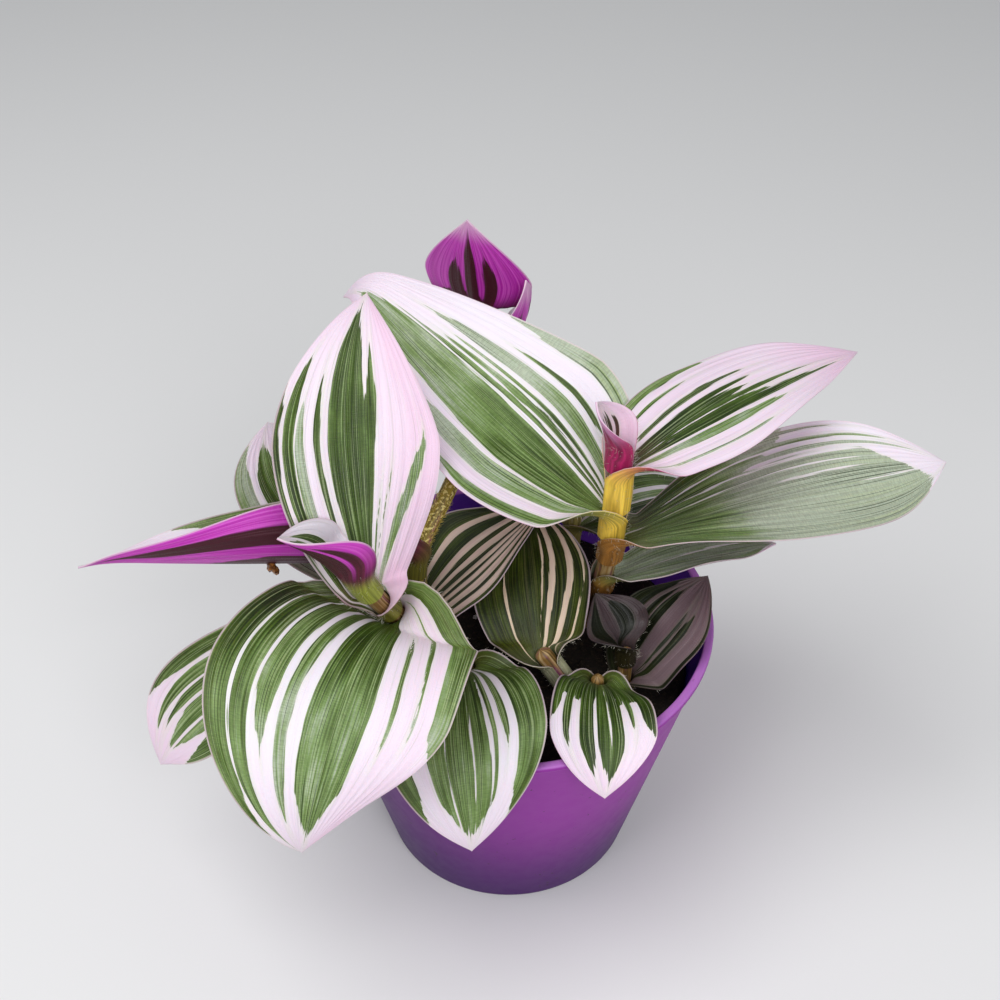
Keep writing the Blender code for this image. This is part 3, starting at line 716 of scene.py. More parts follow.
def stem_material(name, settings, dark, common, pale, glint=0.0):
    """Fleshy stem: streaked along its length from dark to pale, with pink patches.

    The glint is the share of painted highlights: gold specks that stand in for glitter catching the
    light.
    """
    n = Nodes(name)
    along = n.attribute("vein", "Vector")
    streaks = n.fibres(along, 1.6, 0.06)
    patches = n.fibres(along, 0.3, 0.12, detail=3.0)
    colour = n.ramp(streaks, (0.3, dark), (0.5, common), (0.72, pale))
    colour = n.mix(n.ease(patches, 0.55, 0.75, 0.0, 0.35), colour, settings.magenta)
    # painted highlights: gold specks where this noise peaks, standing in for glitter catching the
    # light
    grains = n.grain(1600.0, detail=1.0)
    colour = n.mix(n.ease(grains, 0.53, 0.62, 0.0, glint), colour, (0.98, 0.84, 0.30))
    n.set(
        Base_Color=colour, Roughness=0.5, Subsurface_Weight=0.1,
        Subsurface_Radius=(1.0, 0.6, 0.4), Subsurface_Scale=0.002)
    n.bump(streaks, 0.4, 0.3)
    return n.material


def honey_material():
    """Dried flower bud: glossy honey brown, darker in its creases."""
    n = Nodes("dried_bud")
    creases = n.grain(900.0)
    colour = n.ramp(creases, (0.35, (0.07, 0.018, 0.004)), (0.65, (0.42, 0.17, 0.03)))
    n.set(Base_Color=colour, Roughness=0.3)
    n.bump(creases, 0.4, 0.3)
    return n.material


def hair_material(name, colour):
    """Fine plant hair: pale and a little glossy."""
    n = Nodes(name)
    dimmer = tuple(0.6 * c for c in colour)
    n.set(Base_Color=n.mix(n.grain(900.0), colour, dimmer), Roughness=0.35)
    return n.material


def pot_material(settings):
    """Moulded plastic: purple outside and bluer inside, with specks of soil; the brighter
    blue-violet inside and the lighter top of the lip are painted light, and the darkening low down
    and on the left side is painted shade.
    """
    n = Nodes("purple_plastic")
    place = n.put("ShaderNodeTexCoord", out="Object")
    height = n.put("ShaderNodeSeparateXYZ", {0: place}, out="Z")
    # painted shade: low marks where the outside darkens towards the foot
    low = n.ease(height, 0.0, 0.05, 1.0, 0.0)
    side = n.put("ShaderNodeSeparateXYZ", {0: place}, out="X")
    outer = n.mix(n.maths("MULTIPLY", low, 0.9), settings.pot, settings.pot_shade)
    # painted shade: the pot's left side is darkened, where less light falls
    outer = n.mix(n.ease(side, -0.045, 0.015, 0.85, 0.0), outer, settings.pot_shade)
    # painted light: the inside wall is a brighter blue-violet, as where light shines through the
    # thin plastic
    colour = n.mix(n.attribute("inner"), outer, settings.pot_inner)
    # painted highlight: the upward-facing top of the lip is a lighter purple
    colour = n.mix(n.attribute("lip"), colour, settings.pot_lip)
    specks = n.grain(900.0, detail=1.0, place=place)
    dust = n.grain(160.0, detail=3.0, place=place)
    dirt = n.maths("MULTIPLY", n.ease(specks, 0.70, 0.74), n.ease(dust, 0.52, 0.62))
    colour = n.mix(n.maths("MULTIPLY", dirt, 0.8), colour, (0.03, 0.02, 0.015))
    scuffs = n.grain(300.0, place=place)
    n.set(
        Base_Color=colour, Roughness=n.ease(scuffs, 0.35, 0.7, 0.42, 0.46),
        Specular_IOR_Level=0.15, Subsurface_Weight=0.15, Subsurface_Radius=(0.6, 0.2, 1.0),
        Subsurface_Scale=0.003)
    n.bump(scuffs, 0.05, 0.05)
    return n.material


def soil_material(settings):
    """Moist peat: almost black crumbs with browner fibres; the near-black is dark peat with painted
    shade, as the soil lies deep in the pot under the leaves.
    """
    n = Nodes("potting_soil")
    fine = n.grain(900.0, detail=4.0, rough=0.7)
    coarse = n.grain(200.0, detail=3.0)
    colour = n.ramp(
        fine, (0.3, settings.soil_dark), (0.55, settings.soil), (0.8, settings.soil_pale))
    colour = n.mix(n.ease(coarse, 0.5, 0.7, 0.0, 0.5), colour, settings.soil_dark)
    n.set(Base_Color=colour, Roughness=0.92, Specular_IOR_Level=0.25)
    n.bump(fine, 0.8, 0.6)
    return n.material


def perlite_material():
    """Perlite grains: dull white with soil in their pores."""
    n = Nodes("perlite")
    pores = n.grain(1500.0)
    colour = n.mix(n.ease(pores, 0.5, 0.7), (0.62, 0.60, 0.55), (0.12, 0.09, 0.06))
    n.set(Base_Color=colour, Roughness=0.9)
    n.bump(pores, 0.5, 0.3)
    return n.material


# ---------------------------------------------------------------- leaves

def midrib(leaf, root, axis, tube_radius):
    """The line down the middle of the leaf, with its across and upward directions."""
    total = leaf["sheath"] + leaf["length"]
    way = np.linspace(0.0, total, MIDRIB_STEPS)
    u = np.clip((way - leaf["sheath"]) / leaf["length"], 0.0, 1.0)
    slope = leaf["rise"] + (leaf["fall"] - leaf["rise"]) * u ** leaf["bend"]
    slope = np.radians(slope + leaf["curl"] * smooth((u - 0.8) / 0.2))
    leave = smooth((way - leaf["sheath"]) / leaf["neck"])
    turn = np.radians(leaf["heading"] + leaf["swing"] * u)
    faced = turn + np.radians(leaf["face"]) * (1.0 - leave)
    flat = np.cos(slope)
    blade = np.stack([flat * np.cos(turn), flat * np.sin(turn), np.sin(slope)], -1)
    forward = unit((1.0 - leave[:, None]) * axis + leave[:, None] * blade)
    across = np.stack([np.sin(faced), -np.cos(faced), 0.0 * faced], -1)
    across = unit(across - np.sum(across * forward, -1, keepdims=True) * forward)
    up = np.cross(across, forward)
    settle = smooth((way - leaf["sheath"]) / (1.5 * leaf["neck"]))
    roll = np.radians(leaf["roll"] * settle + leaf["twist"] * u)[:, None]
    tilted = across * np.cos(roll) + up * np.sin(roll)
    raised = up * np.cos(roll) - across * np.sin(roll)
    steps = np.diff(way)[:, None] * (forward[1:] + forward[:-1]) / 2.0
    line = np.vstack([np.zeros(3), np.cumsum(steps, 0)]) + root - tube_radius * up
    return way, line, tilted, raised


def leaf_sheet(leaf, at, t):
    """The middle surface of a leaf: an arc of given half width bent across the midrib.

    At distance `at` from the root and t from edge to edge, the point lies side = sin(k s)/k
    across and lift = (1 - cos(k s))/k up, where s = t * half width and k is the arc's bend.
    The half width follows the sheath's tube at first and then the blade's outline.
    """
    root, axis = stem_place(leaf["stem"], leaf["at"])
    tube_radius = STEMS[leaf["stem"]][1] + SHEATH_GAP + SHEATH_WALL
    way, line, across, up = midrib(leaf, root, axis, tube_radius)
    line = sample(at, way, line)
    across, up = unit(sample(at, way, across)), unit(sample(at, way, up))
    u = np.clip((at - leaf["sheath"]) / leaf["length"], 0.0, 1.0)
    wrap = math.pi - math.radians(SLIT_HALF)
    widest = leaf["widest"]
    near = leaf["base"] + (1.0 - leaf["base"]) * (1.0 - (1.0 - np.minimum(u / widest, 1.0)) ** 2)
    far = 1.0 - np.clip((u - widest) / (1.0 - widest), 0.0, 1.0) ** leaf["point"]
    outline = np.where(u < widest, near, far)
    open_width = smooth((at - leaf["sheath"]) / (leaf["neck"] * leaf["flare"]))
    half = tube_radius * wrap * (1.0 - open_width) + leaf["width"] / 2.0 * outline * open_width
    half = np.maximum(half, 0.02)
    cup_tip = leaf["cup"] if leaf["cup_tip"] is None else leaf["cup_tip"]
    cup = np.radians(leaf["cup"] + (cup_tip - leaf["cup"]) * u)
    opened = smooth((at - 0.8 * leaf["sheath"]) / (leaf["neck"] * leaf["flare"]))
    bend = wrap * (1.0 - opened) + cup * opened * np.clip(2.0 * half / leaf["width"], 0.0, 1.0)
    curve = (bend / half)[:, None]
    curve = np.where(np.abs(curve) < 1e-6, 1e-6, curve)
    reach = half[:, None] * t[None, :]
    side = np.sin(curve * reach) / curve
    lift = (1.0 - np.cos(curve * reach)) / curve
    ends = smooth(u * 4.0) * smooth((1.0 - u) * 4.0)
    phase = leaf["waves"] * u[:, None] + 0.3 * smooth(t[None, :] * 2.0 + 0.5) + leaf["length"] / 7.0
    lift = lift + leaf["wave"] * np.abs(t[None, :]) ** 3 * np.sin(math.tau * phase) * ends[:, None]
    sheet = line[:, None] + side[..., None] * across[:, None] + lift[..., None] * up[:, None]
    return sheet, half, u


def sheet_normals(sheet):
    """Unit normals of a grid of points, on the side the leaf's upper face looks to."""
    normals = unit(np.cross(np.gradient(sheet, axis=1), np.gradient(sheet, axis=0)))
    normals[-1] = normals[-2]
    return normals


def vein_place(leaf, t, u):
    """Where a point lies across the veins: t / (s + (1 - s) |t|), where s grows with u.

    While s is small the veins crowd to the midrib, and they fan out as it grows; the margin
    is a vein itself, as the formula keeps -1 and 1 in place.
    """
    left, right = leaf["fan"]
    power = np.where(t[None, :] < 0, left, right)
    spread = ((u[:, None] + 0.05) / 0.55) ** power
    return t[None, :] / (spread + (1.0 - spread) * np.abs(t[None, :]))


def band_field(leaf, vein, u, half):
    """How deep each point lies in a green band, in millimetres, and that band's tone.

    A band's depth is the lesser of the distance to its sides and, flattened, to its ends,
    and its half width shrinks as the root of what is left of its length, so that it ends in
    a point. The field is the greatest depth of all bands; a pale stripe cuts it back.
    """
    field = np.full(vein.shape, -5.0)
    tone = np.zeros(vein.shape)
    u = np.broadcast_to(u[:, None], vein.shape)
    half = half[:, None]
    for low, high, end, shade, *rest in leaf["bands"]:
        start, lean = (*rest, *BAND_REST[len(rest):])
        centre = (low + high) / 2.0 + lean * (u - 0.5)
        left = np.clip((end - u) / 0.16, 0.0, 1.0)
        width = (high - low) / 2.0 * np.sqrt(left)
        sides = (width - np.abs(vein - centre)) * half
        ahead = (end - u) * leaf["length"] * 0.10
        behind = (u - start) * leaf["length"] * 0.10
        depth = np.minimum(np.minimum(sides, ahead), behind)
        if shade < 0:
            field = np.minimum(field, -depth)
        else:
            tone = np.where(depth > field, shade, tone)
            field = np.maximum(field, depth)
    return np.clip(field, -5.0, 5.0), tone


def dressed(name):
    """All settings of a leaf: its own over the common ones."""
    return {**FORM, **LOOK, **LEAVES[name]}


def random_bands(seed):
    """Bands for a leaf with none of its own: green and pale stripes of uneven widths."""
    rng = np.random.default_rng(seed)
    place, bands = -1.0, []
    while place < 0.95:
        green, pale = rng.uniform(0.10, 0.42), rng.uniform(0.03, 0.16)
        end = rng.uniform(0.7, 0.96)
        bands.append((place, min(place + green, 1.0), end, rng.uniform(0.15, 0.8)))
        place += green + pale
    return tuple(bands)


def leaf_attributes(leaf, index, at, t, half, u):
    """The leaf's pattern at each grid point, for its upper face."""
    grid = np.zeros((len(at), len(t)))
    vein = vein_place(leaf, t, u)
    field, tone = band_field(leaf, vein, u, half)
    tone = tone + leaf["silver"] * smooth((u[:, None] - 0.2) / 0.35)
    blush = leaf["blush"] + leaf["blush_tip"] * smooth((u[:, None] - 0.6) / 0.4)
    blush = blush + leaf["blush_left"] * smooth(-vein) + leaf["blush_right"] * smooth(vein)
    across = vein * leaf["width"] / 2.0 + PATTERN_STEP * index
    along = grid + (at - leaf["sheath"])[:, None]
    neck = smooth((at - leaf["sheath"]) / leaf["neck"])[:, None, None]
    colour = np.array(leaf["sheath_colour"]) * (1.0 - neck) + np.array(leaf["neck_colour"]) * neck
    cover = 1.0 - smooth((at - leaf["sheath"] - 0.6 * leaf["neck"]) / (1.8 * leaf["neck"]))
    tint = np.concatenate([
        np.broadcast_to(colour, (*grid.shape, 3)),
        np.broadcast_to(cover[:, None, None], (*grid.shape, 1)),
    ], -1)
    return {
        "vein": np.stack([across, along, grid + index], -1),
        "green": field,
        "tone": tone,
        "blush": np.clip(grid + blush, 0.0, 1.0),
        "rim": (1.0 - np.abs(t))[None, :] * half[:, None],
        "lines": grid + leaf["lines"],
        "warm": grid + leaf["warm"],
        "shade": grid + leaf["shade"],
        "margin": grid + leaf["margin"],
        "tint": tint,
    }


def leaf_rows(leaf, settings):
    """Distances of the rows from the root, closer together where the sheath opens."""
    neck_end = leaf["sheath"] + leaf["neck"] * leaf["flare"]
    total = leaf["sheath"] + leaf["length"]
    count = max(24, int(leaf["length"] * settings.rows_per_mm))
    return np.concatenate([
        np.linspace(0.0, leaf["sheath"], 7)[:-1],
        np.linspace(leaf["sheath"], neck_end, 14)[:-1],
        neck_end + (total - neck_end) * np.linspace(0.0, 1.0, count),
    ])


def add_leaf(name, index, material, settings):
    """One leaf: its sheet pleated along the veins, given its thickness and its pattern."""
    leaf = dressed(name)
    leaf["bands"] = leaf["bands"] or random_bands(index)
    at = leaf_rows(leaf, settings)
    columns = max(40, int(leaf["width"] * settings.columns_per_mm))
    t = np.linspace(-1.0, 1.0, columns)
    sheet, half, u = leaf_sheet(leaf, at, t)
    normals = sheet_normals(sheet)
    looks = leaf_attributes(leaf, index, at, t, half, u)
    width = looks["vein"][..., 0] - PATTERN_STEP * index
    shown = (smooth(u * 5.0) * smooth((1.0 - u) * 6.0))[:, None]
    pleats = settings.pleat_depth * np.cos(math.tau * width / settings.pleat_width)
    groove = settings.midrib_depth * np.exp(-(t[None, :] * half[:, None] / 0.7) ** 2)
    sheet = sheet + (normals * ((pleats - groove) * shown)[..., None])
    edge = (1.0 - np.abs(t) ** 6)[None, :]
    thick = settings.thickness * (0.4 + 0.6 * edge) / 2.0
    keel = 1.0 + 1.2 * np.exp(-(t[None, :] * half[:, None] / 1.2) ** 2) * (1.0 - u[:, None])
    top = sheet + normals * thick[..., None]
    bottom = sheet - normals * (thick * keel)[..., None]
    points, quads = closed_sheet(top, bottom)
    both = {}
    for key, values in looks.items():
        values = values.reshape(-1, values.shape[-1]) if values.ndim == 3 else values.ravel()
        both[key] = np.concatenate([values, values])
    count = len(points) // 2
    both["under"] = np.repeat([0.0, 1.0], count)
    both["tint"][:count, 3] *= 0.15
    mesh = write_mesh(name, points, quads, attributes=both, sharp=50)
    return add_piece(name + "_blade", mesh, material, leaf["slot"], name)


# ---------------------------------------------------------------- settings

def colour_property(name, description, default):
    return bpy.props.FloatVectorProperty(
        name=name, description=description, default=default, size=3, min=0.0, max=1.0,
        subtype="COLOR")


def size_property(name, description, default, low, high):
    return bpy.props.FloatProperty(
        name=name, description=description, default=default, min=low, max=high)


def count_property(name, description, default, low, high):
    return bpy.props.IntProperty(
        name=name, description=description, default=default, min=low, max=high)


class TRADESCANTIA_PG_leaves(bpy.types.PropertyGroup):
    """Sizes and colours of the leaves and stems; sizes in millimetres."""

    thickness: size_property("Thickness", "Thickness of a blade, in mm", 0.55, 0.2, 0.7)
    pleat_depth: size_property("Pleat depth", "Depth of the pleats, in mm", 0.07, 0, 0.5)
    pleat_width: size_property("Pleat width", "Distance between two pleats, in mm", 2.6, 1, 10)
    midrib_depth: size_property("Midrib depth", "Depth of the midrib, in mm", 0.25, 0, 1)
    rows_per_mm: size_property("Rows", "Rows of the mesh in each mm of length", 0.8, 0.2, 2)
    columns_per_mm: size_property("Columns", "Columns of the mesh in each mm of width", 2.2, 0.5, 4)
    deep_green: colour_property("Deep green", "Darkest green", (0.010, 0.024, 0.001))
    mid_green: colour_property("Mid green", "Common green of the stripes", (0.052, 0.100, 0.007))
    grey_green: colour_property("Grey green", "Paler, greyer green", (0.165, 0.262, 0.075))
    silver_green: colour_property("Silver green", "Palest green", (0.40, 0.46, 0.35))
    white: colour_property("White", "Whitest part of the pale stripes", (0.83, 0.79, 0.86))
    pink: colour_property("Pink", "Pinkest part of the pale stripes", (0.81, 0.57, 0.73))
    magenta: colour_property("Magenta", "Underside between its dark stripes", (0.44, 0.012, 0.38))
    lilac: colour_property("Lilac", "Palest part of the underside", (0.62, 0.08, 0.55))
    maroon: colour_property("Maroon", "Dark stripes of the underside", (0.05, 0.003, 0.012))
    margin: colour_property("Margin", "Thin line round the blade", (0.78, 0.60, 0.68))
    stem: colour_property("Stem", "Common colour of the stems", (0.24, 0.13, 0.03))
    stem_dark: colour_property("Stem, dark", "Dark streaks of the stems", (0.06, 0.04, 0.01))
    stem_gold: colour_property("Stem, golden", "Common colour of the back stem", (0.42, 0.31, 0.03))
    stem_pale: colour_property("Stem, pale", "Pale streaks of the stems", (0.50, 0.36, 0.18))


class TRADESCANTIA_PG_pot(bpy.types.PropertyGroup):
    """Sizes and colours of the pot and the soil."""

    steps: count_property("Steps", "Steps round the pot", 192, 48, 360)
    pot: colour_property("Pot", "Purple of the outside", (0.28, 0.030, 0.32))
    # painted shade: the colour the pot darkens to low down and on its left side
    pot_shade: colour_property("Pot, low", "Bluer purple towards the foot", (0.045, 0.005, 0.11))
    # painted light: the inside is brighter and bluer, as where light shines through the thin wall
    pot_inner: colour_property("Pot, inside", "Blue-violet of the inside", (0.16, 0.05, 0.50))
    # painted highlight: a lighter purple on the lip's upward-facing top
    pot_lip: colour_property("Lip", "Top of the lip", (0.42, 0.15, 0.50))
    # partly painted shade: the soil colours are dark peat made near-black for the shade it lies in
    soil: colour_property("Soil", "Common colour of the soil", (0.014, 0.010, 0.006))
    soil_dark: colour_property("Soil, dark", "Wet crumbs", (0.006, 0.005, 0.004))
    soil_pale: colour_property("Soil, pale", "Dry fibres", (0.07, 0.045, 0.025))
    crumbs: count_property("Crumbs", "Loose crumbs on the soil", 260, 0, 1000)
    perlite: count_property("Perlite", "Grains of perlite on the soil", 16, 0, 200)


class TRADESCANTIA_PG_hairs(bpy.types.PropertyGroup):
    """Fine hairs where the sheaths open and along the golden stem."""

    length: size_property("Length", "Longest hairs, in mm", 1.8, 0.2, 5)
    radius: size_property("Radius", "Radius of a hair at its root, in mm", 0.045, 0.01, 0.2)
    per_sheath: count_property("Per sheath", "Hairs round each sheath", 90, 0, 500)
    golden: count_property("Golden", "Golden hairs of the back stem", 1500, 0, 5000)
    white: colour_property("White", "Hairs of the sheaths", (0.78, 0.74, 0.62))
    gold: colour_property("Gold", "Hairs of the back stem", (0.88, 0.66, 0.16))


class TRADESCANTIA_PG_stage(bpy.types.PropertyGroup):
    """Floor, lights and camera."""

    floor: colour_property("Floor", "Plain pale floor", (0.80, 0.80, 0.80))
    key: size_property("Key light", "Power of the large overhead light, in W", 6.1, 0, 100)
    fill: size_property("Fill light", "Power of the light in front, in W", 4.5, 0, 100)
    world: size_property("Sky", "Strength of the light from all round", 0.34, 0, 5)


# ---------------------------------------------------------------- operators

def outer_radius(height):
    return BASE_RADIUS + (RIM_RADIUS - LIP_WIDTH + WALL - BASE_RADIUS) * height / POT_HEIGHT


class TRADESCANTIA_OT_pot(bpy.types.Operator):
    """Makes the pot: a rounded profile turned about its axis, with drainage holes"""

    bl_idname = "tradescantia.pot"
    bl_label = "Pot"

    def execute(self, context):
        settings = context.scene.tradescantia_pot
        lip_foot = POT_HEIGHT - LIP_HEIGHT
        inside = outer_radius(lip_foot) - WALL
        profile = [
            (0.0, FLOOR), (BASE_RADIUS - WALL - 0.5, FLOOR), (inside, lip_foot - 1.0),
            (RIM_RADIUS - LIP_WIDTH, POT_HEIGHT), (RIM_RADIUS, POT_HEIGHT),
            (RIM_RADIUS, lip_foot), (outer_radius(lip_foot - 0.3), lip_foot - 0.3),
            (outer_radius(0.0), 0.0), (0.0, 0.0),
        ]
        profile = rounded(profile, 0.7)
        points, quads, caps = turned(profile, settings.steps)
        radius = np.hypot(points[:, 0], points[:, 1])
        height = points[:, 2]
        wall = outer_radius(height) - WALL / 2.0
        inner = smooth((wall - radius) / 0.6) * (height > FLOOR - 0.1)
        lip = smooth((height - POT_HEIGHT + 0.7) / 0.5) * (radius > RIM_RADIUS - LIP_WIDTH - 0.2)
        mesh = write_mesh("pot", points, quads, caps, {"inner": inner, "lip": lip}, sharp=40)
        piece = add_piece("pot_shell", mesh, pot_material(settings), "pot_plastic", "pot")
        angle = (np.arange(DRAIN_COUNT) + 0.5) * math.tau / DRAIN_COUNT
        for k, a in enumerate(angle):
            line = np.array([(0, 0, -2.0), (0, 0, FLOOR + 2.0)])
            line = line + (DRAIN_CIRCLE * math.cos(a), DRAIN_CIRCLE * math.sin(a), 0)
            rod = bpy.data.objects.new(
                f"drain_{k}", write_mesh(f"drain_{k}", *tube(line, DRAIN_RADIUS, 40)))
            context.scene.collection.objects.link(rod)
            cut = piece.modifiers.new("drain", "BOOLEAN")
            cut.operation = "DIFFERENCE"
            cut.solver = "EXACT"
            cut.object = rod
        graph = context.evaluated_depsgraph_get()
        holed = bpy.data.meshes.new_from_object(piece.evaluated_get(graph), depsgraph=graph)
        piece.modifiers.clear()
        piece.data = holed
        for obj in [o for o in context.scene.objects if o.name.startswith("drain_")]:
            bpy.data.objects.remove(obj)
        return {"FINISHED"}


def soil_height(x, y):
    """The top of the soil: a low crown, rolling lumps, and the rounded tops of crumbs."""
    away = np.hypot(x, y) / RIM_RADIUS
    height = SOIL_TOP + 1.6 * (1.0 - away**2) + 0.5 * waves_2d(x, y, 16.0, 5)
    return height + 0.25 * waves_2d(x, y, 4.0, 6)


class TRADESCANTIA_OT_soil(bpy.types.Operator):
    """Makes the soil with its crumbs, and a few grains of perlite"""

    bl_idname = "tradescantia.soil"
    bl_label = "Soil"

    def execute(self, context):
        settings = context.scene.tradescantia_pot
        rng = np.random.default_rng(11)
        edge = outer_radius(SOIL_TOP) - WALL - SOIL_GAP
        radii = np.concatenate([np.linspace(0.6, edge - 0.6, 74), [edge]])
        steps, lumps = 200, 520
        angle = np.linspace(0, math.tau, steps, endpoint=False)
        x, y = np.outer(radii, np.cos(angle)), np.outer(radii, np.sin(angle))
        z = soil_height(x, y)
        spots = rng.uniform(-edge, edge, (lumps, 2))
        sizes = rng.uniform(0.8, 2.4, lumps)
        for (px, py), size in zip(spots, sizes):
            away = (x - px) ** 2 + (y - py) ** 2
            bulge = np.sqrt(np.maximum(size**2 - away, 0.0)) - 0.45 * size
            z = np.maximum(z, soil_height(np.array(px), np.array(py)) + bulge * (away < size**2))
        z = np.minimum(z, SOIL_TOP + 3.2)
        z[-1] = SOIL_TOP - 1.0
        foot = FLOOR + SOIL_GAP
        lower = [(outer_radius(foot + 4) - WALL - 0.4, foot + 4), (BASE_RADIUS - WALL - 3.5, foot)]
        rows = [np.stack([x, y, z], -1)]
        for radius, height in lower:
            ring = radius * np.cos(angle), radius * np.sin(angle), np.full(steps, height)
            rows.append(np.stack(ring, -1)[None])
        rings = np.concatenate(rows)
        crown, base = (0, 0, z[0].mean()), (0, 0, foot)
        mesh = write_mesh("soil", *closed_rings(rings, crown, base, flip=True))
        material = soil_material(settings)
        add_piece("soil_surface", mesh, material, "soil", "soil")
        for name, count, low, high, finish, seed in (
            ("soil_crumbs", settings.crumbs, 0.5, 1.6, material, 21),
            ("soil_perlite", settings.perlite, 0.5, 1.1, perlite_material(), 22),
        ):
            rng = np.random.default_rng(seed)
            away = (edge - 3.0) * np.sqrt(rng.uniform(0, 1, count))
            turn = rng.uniform(0, math.tau, count)
            cx, cy = away * np.cos(turn), away * np.sin(turn)
            size = rng.uniform(low, high, count)
            centres = np.stack([cx, cy, soil_height(cx, cy) + 0.45 * size + 0.4], -1)
            add_piece(name, blobs(name, centres, size, seed), finish, "soil")
        return {"FINISHED"}


class TRADESCANTIA_OT_stems(bpy.types.Operator):
    """Makes the stems: round, swollen where a leaf grows, and faintly ridged"""

    bl_idname = "tradescantia.stems"
    bl_label = "Stems"

    def execute(self, context):
        settings = context.scene.tradescantia_leaves
        brown = stem_material(
            "fleshy_stem", settings, settings.stem_dark, settings.stem, settings.stem_pale)
        golden = stem_material(
            "golden_stem", settings, settings.stem_dark, settings.stem_gold, settings.stem_gold,
            glint=0.8)
        sides = 28
        for index, (name, (points, radius)) in enumerate(STEMS.items()):
            line, _ = stem_line(points, 16 * (len(points) - 1) + 1)
            along = distances(line)
            roots = [leaf["at"] for leaf in LEAVES.values() if leaf["stem"] == name]
            swell = sum(0.12 * np.exp(-(((along - at) / 1.6) ** 2)) for at in roots)
            angle = np.linspace(0, math.tau, sides, endpoint=False)
            ridge = 0.05 * np.cos(7 * angle)[None, :]
            taper = np.minimum(1.0, np.sqrt(np.maximum((along[-1] - along) / 1.2, 0.02)))
            radii = (radius + swell[:, None] + ridge) * taper[:, None]
            mesh_points, quads, caps = tube(line, radii, sides)
            around = np.tile(np.sin(angle) * radius * 2.0 + 11.0 * index, len(line))
            turn = np.tile(np.cos(angle), len(line))
            vein = np.stack([around, np.repeat(along, sides), turn], -1)
            vein = np.vstack([vein, vein[0], vein[-1]])
            mesh = write_mesh("stem_" + name, mesh_points, quads, caps, {"vein": vein})
            material = golden if name == "back" else brown
            add_piece(f"stem_{name}_flesh", mesh, material, "stem", "stem_" + name)
        leaf = dressed("leaf_left_folded")
        sheet, _, _ = leaf_sheet(leaf, np.array([44.0, 45.0]), np.linspace(-1.0, 1.0, 41))
        middle = 20
        below = sheet[0, middle] - sheet_normals(sheet)[0, middle] * 1.2
        beads = below + np.array([(0.0, 0.0, 0.0), (0.9, -0.2, -1.3), (-0.6, 0.3, -0.6)])
        bud = blobs("dry_bud", beads, (1.5, 1.2, 1.0), 5, squash=1.2)
        add_piece("dry_bud", bud, honey_material(), "stem")
        return {"FINISHED"}


class TRADESCANTIA_OT_leaves(bpy.types.Operator):
    """Makes every leaf with its stripes"""

    bl_idname = "tradescantia.leaves"
    bl_label = "Leaves"

    def execute(self, context):
        settings = context.scene.tradescantia_leaves
        material = leaf_material(settings)
        for index, name in enumerate(LEAVES):
            add_leaf(name, index, material, settings)
        return {"FINISHED"}


class TRADESCANTIA_OT_hairs(bpy.types.Operator):
    """Makes the fine hairs of the sheaths and of the back stem"""

    bl_idname = "tradescantia.hairs"
    bl_label = "Hairs"

    def execute(self, context):
        settings = context.scene.tradescantia_hairs
        rng = np.random.default_rng(31)
        roots, ways, lengths = [], [], []
        for name in LEAVES:
            leaf = dressed(name)
            rows, columns = 40, 41
            at = np.linspace(0.0, leaf["sheath"] + 1.2 * leaf["neck"], rows)
            sheet, _, _ = leaf_sheet(leaf, at, np.linspace(-1.0, 1.0, columns))
            normals = sheet_normals(sheet)
            count = settings.per_sheath
            i = rng.integers(2, rows - 2, count)
            at_edge = rng.uniform(size=count) < 0.45
            edge = rng.choice([0, columns - 1], count)
            j = np.where(at_edge, edge, rng.integers(0, columns, count))
            up = unit(sheet[i + 1, j] - sheet[i, j])
            roots.append(sheet[i, j] - 0.25 * normals[i, j])
            ways.append(-normals[i, j] + 0.6 * up + rng.normal(0, 0.35, (count, 3)))
            lengths.append(settings.length * rng.uniform(0.35, 1.0, count))
        mesh = hairs(
            "sheath_hairs", np.vstack(roots), np.vstack(ways), np.concatenate(lengths),
            settings.radius)
        add_piece("sheath_hairs", mesh, hair_material("white_hair", settings.white), "stem")
        points, radius = STEMS["back"]
        line, ways = stem_line(points, 400)
        bare_from, bare_to = 105, 215
        count = settings.golden
        k = rng.integers(bare_from, bare_to, count)
        side = unit(rng.normal(size=(count, 3)))
        side = unit(side - np.sum(side * ways[k], -1, keepdims=True) * ways[k])
        mesh = hairs(
            "golden_hairs", line[k] + side * (radius - 0.05), side + 0.8 * ways[k],
            settings.length * rng.uniform(0.3, 0.8, count), settings.radius * 1.6)
        add_piece("golden_hairs", mesh, hair_material("golden_hair", settings.gold), "stem")
        return {"FINISHED"}


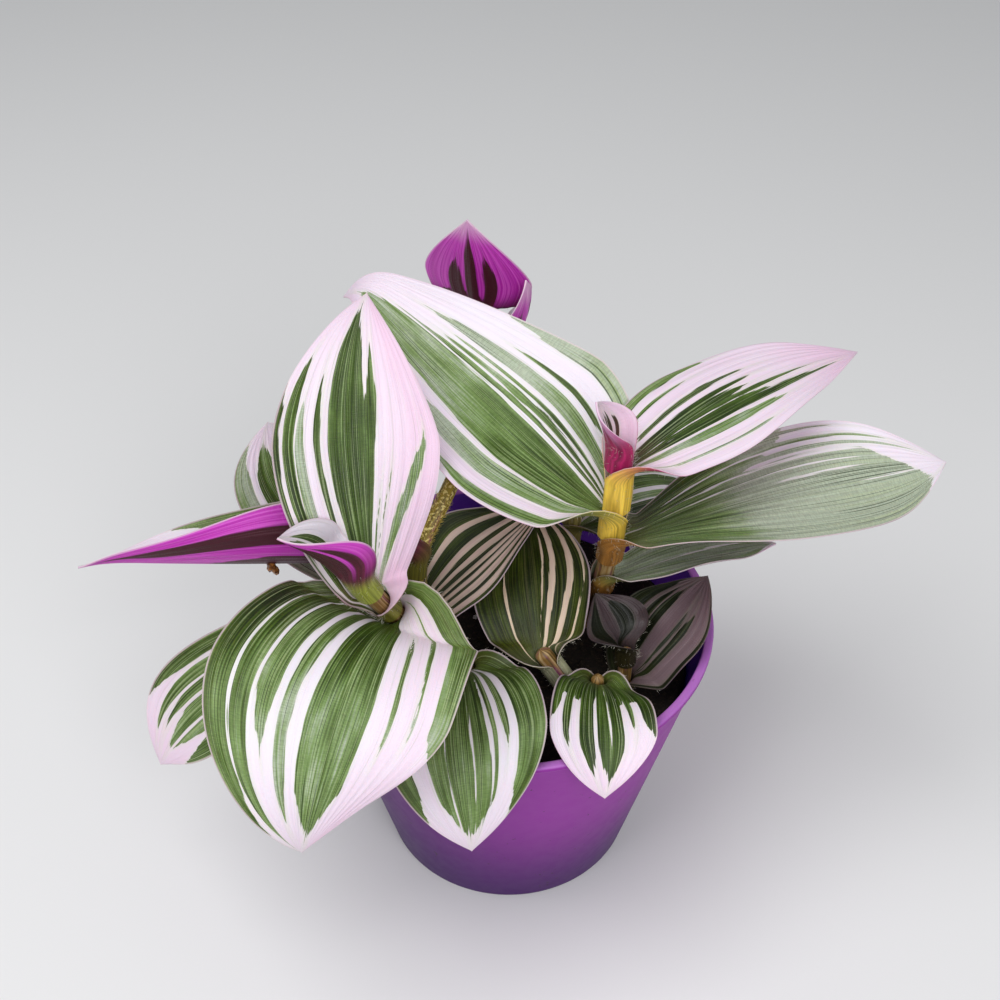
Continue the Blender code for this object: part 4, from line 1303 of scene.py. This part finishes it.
class TRADESCANTIA_OT_stage(bpy.types.Operator):
    """Makes the floor, the lights and the camera"""

    bl_idname = "tradescantia.stage"
    bl_label = "Stage"

    def execute(self, context):
        settings = context.scene.tradescantia_stage
        scene = context.scene
        scene.view_settings.view_transform = "Standard"
        half = 1500.0
        corners = [(-half, -half, 0), (half, -half, 0), (half, half, 0), (-half, half, 0)]
        floor = bpy.data.objects.new("floor", write_mesh("floor", corners, [(0, 1, 2, 3)]))
        nodes = Nodes("pale_floor")
        nodes.set(Base_Color=tuple(settings.floor), Roughness=0.8)
        floor.data.materials.append(nodes.material)
        scene.collection.objects.link(floor)
        floor.location.z = -0.05 * MM
        for name, power, size, place in (
            ("key", settings.key, 0.7, (-0.35, -0.25, 0.95)),
            ("fill", settings.fill, 0.5, (0.25, -0.80, 0.70)),
        ):
            light = bpy.data.lights.new(name, "AREA")
            light.energy = power
            light.size = size
            lamp = bpy.data.objects.new(name, light)
            lamp.location = place
            aim = np.array((0.0, 0.0, 0.09)) - np.array(place)
            yaw = math.atan2(aim[1], aim[0])
            pitch = math.atan2(math.hypot(aim[0], aim[1]), -aim[2])
            lamp.rotation_euler = (pitch, 0.0, yaw - math.pi / 2)
            scene.collection.objects.link(lamp)
        world = bpy.data.worlds.new("studio")
        world.use_nodes = True
        sky = world.node_tree.nodes["Background"].inputs
        sky["Color"].default_value = (0.95, 0.97, 1.0, 1.0)
        sky["Strength"].default_value = settings.world
        scene.world = world
        camera = bpy.data.cameras.new("camera")
        camera.lens = 50.0
        camera.sensor_width = 36.0
        camera.clip_start = 0.01
        eye = bpy.data.objects.new("camera", camera)
        eye.location = np.array(CAMERA_PLACE) * MM
        eye.rotation_euler = (math.radians(90.0 - CAMERA_DOWN), 0.0, 0.0)
        scene.collection.objects.link(eye)
        scene.camera = eye
        return {"FINISHED"}


class TRADESCANTIA_PT_panel(bpy.types.Panel):
    """Lists the pieces of the plant"""

    bl_label = "Tradescantia"
    bl_idname = "TRADESCANTIA_PT_panel"
    bl_space_type = "VIEW_3D"
    bl_region_type = "UI"
    bl_category = "Tradescantia"

    def draw(self, context):
        for operator in OPERATORS:
            self.layout.operator(operator.bl_idname)


GROUPS = {
    "tradescantia_leaves": TRADESCANTIA_PG_leaves,
    "tradescantia_pot": TRADESCANTIA_PG_pot,
    "tradescantia_hairs": TRADESCANTIA_PG_hairs,
    "tradescantia_stage": TRADESCANTIA_PG_stage,
}
OPERATORS = (
    TRADESCANTIA_OT_pot, TRADESCANTIA_OT_soil, TRADESCANTIA_OT_stems, TRADESCANTIA_OT_leaves,
    TRADESCANTIA_OT_hairs, TRADESCANTIA_OT_stage,
)


def register():
    for kind in (*GROUPS.values(), *OPERATORS, TRADESCANTIA_PT_panel):
        bpy.utils.register_class(kind)
    for name, group in GROUPS.items():
        setattr(bpy.types.Scene, name, bpy.props.PointerProperty(type=group))


def unregister():
    for name in GROUPS:
        delattr(bpy.types.Scene, name)
    for kind in (TRADESCANTIA_PT_panel, *reversed(OPERATORS), *GROUPS.values()):
        bpy.utils.unregister_class(kind)


def main():
    register()
    for operator in OPERATORS:
        family, name = operator.bl_idname.split(".")
        getattr(getattr(bpy.ops, family), name)()
    bpy.context.view_layer.update()


if __name__ == "__main__":
    main()
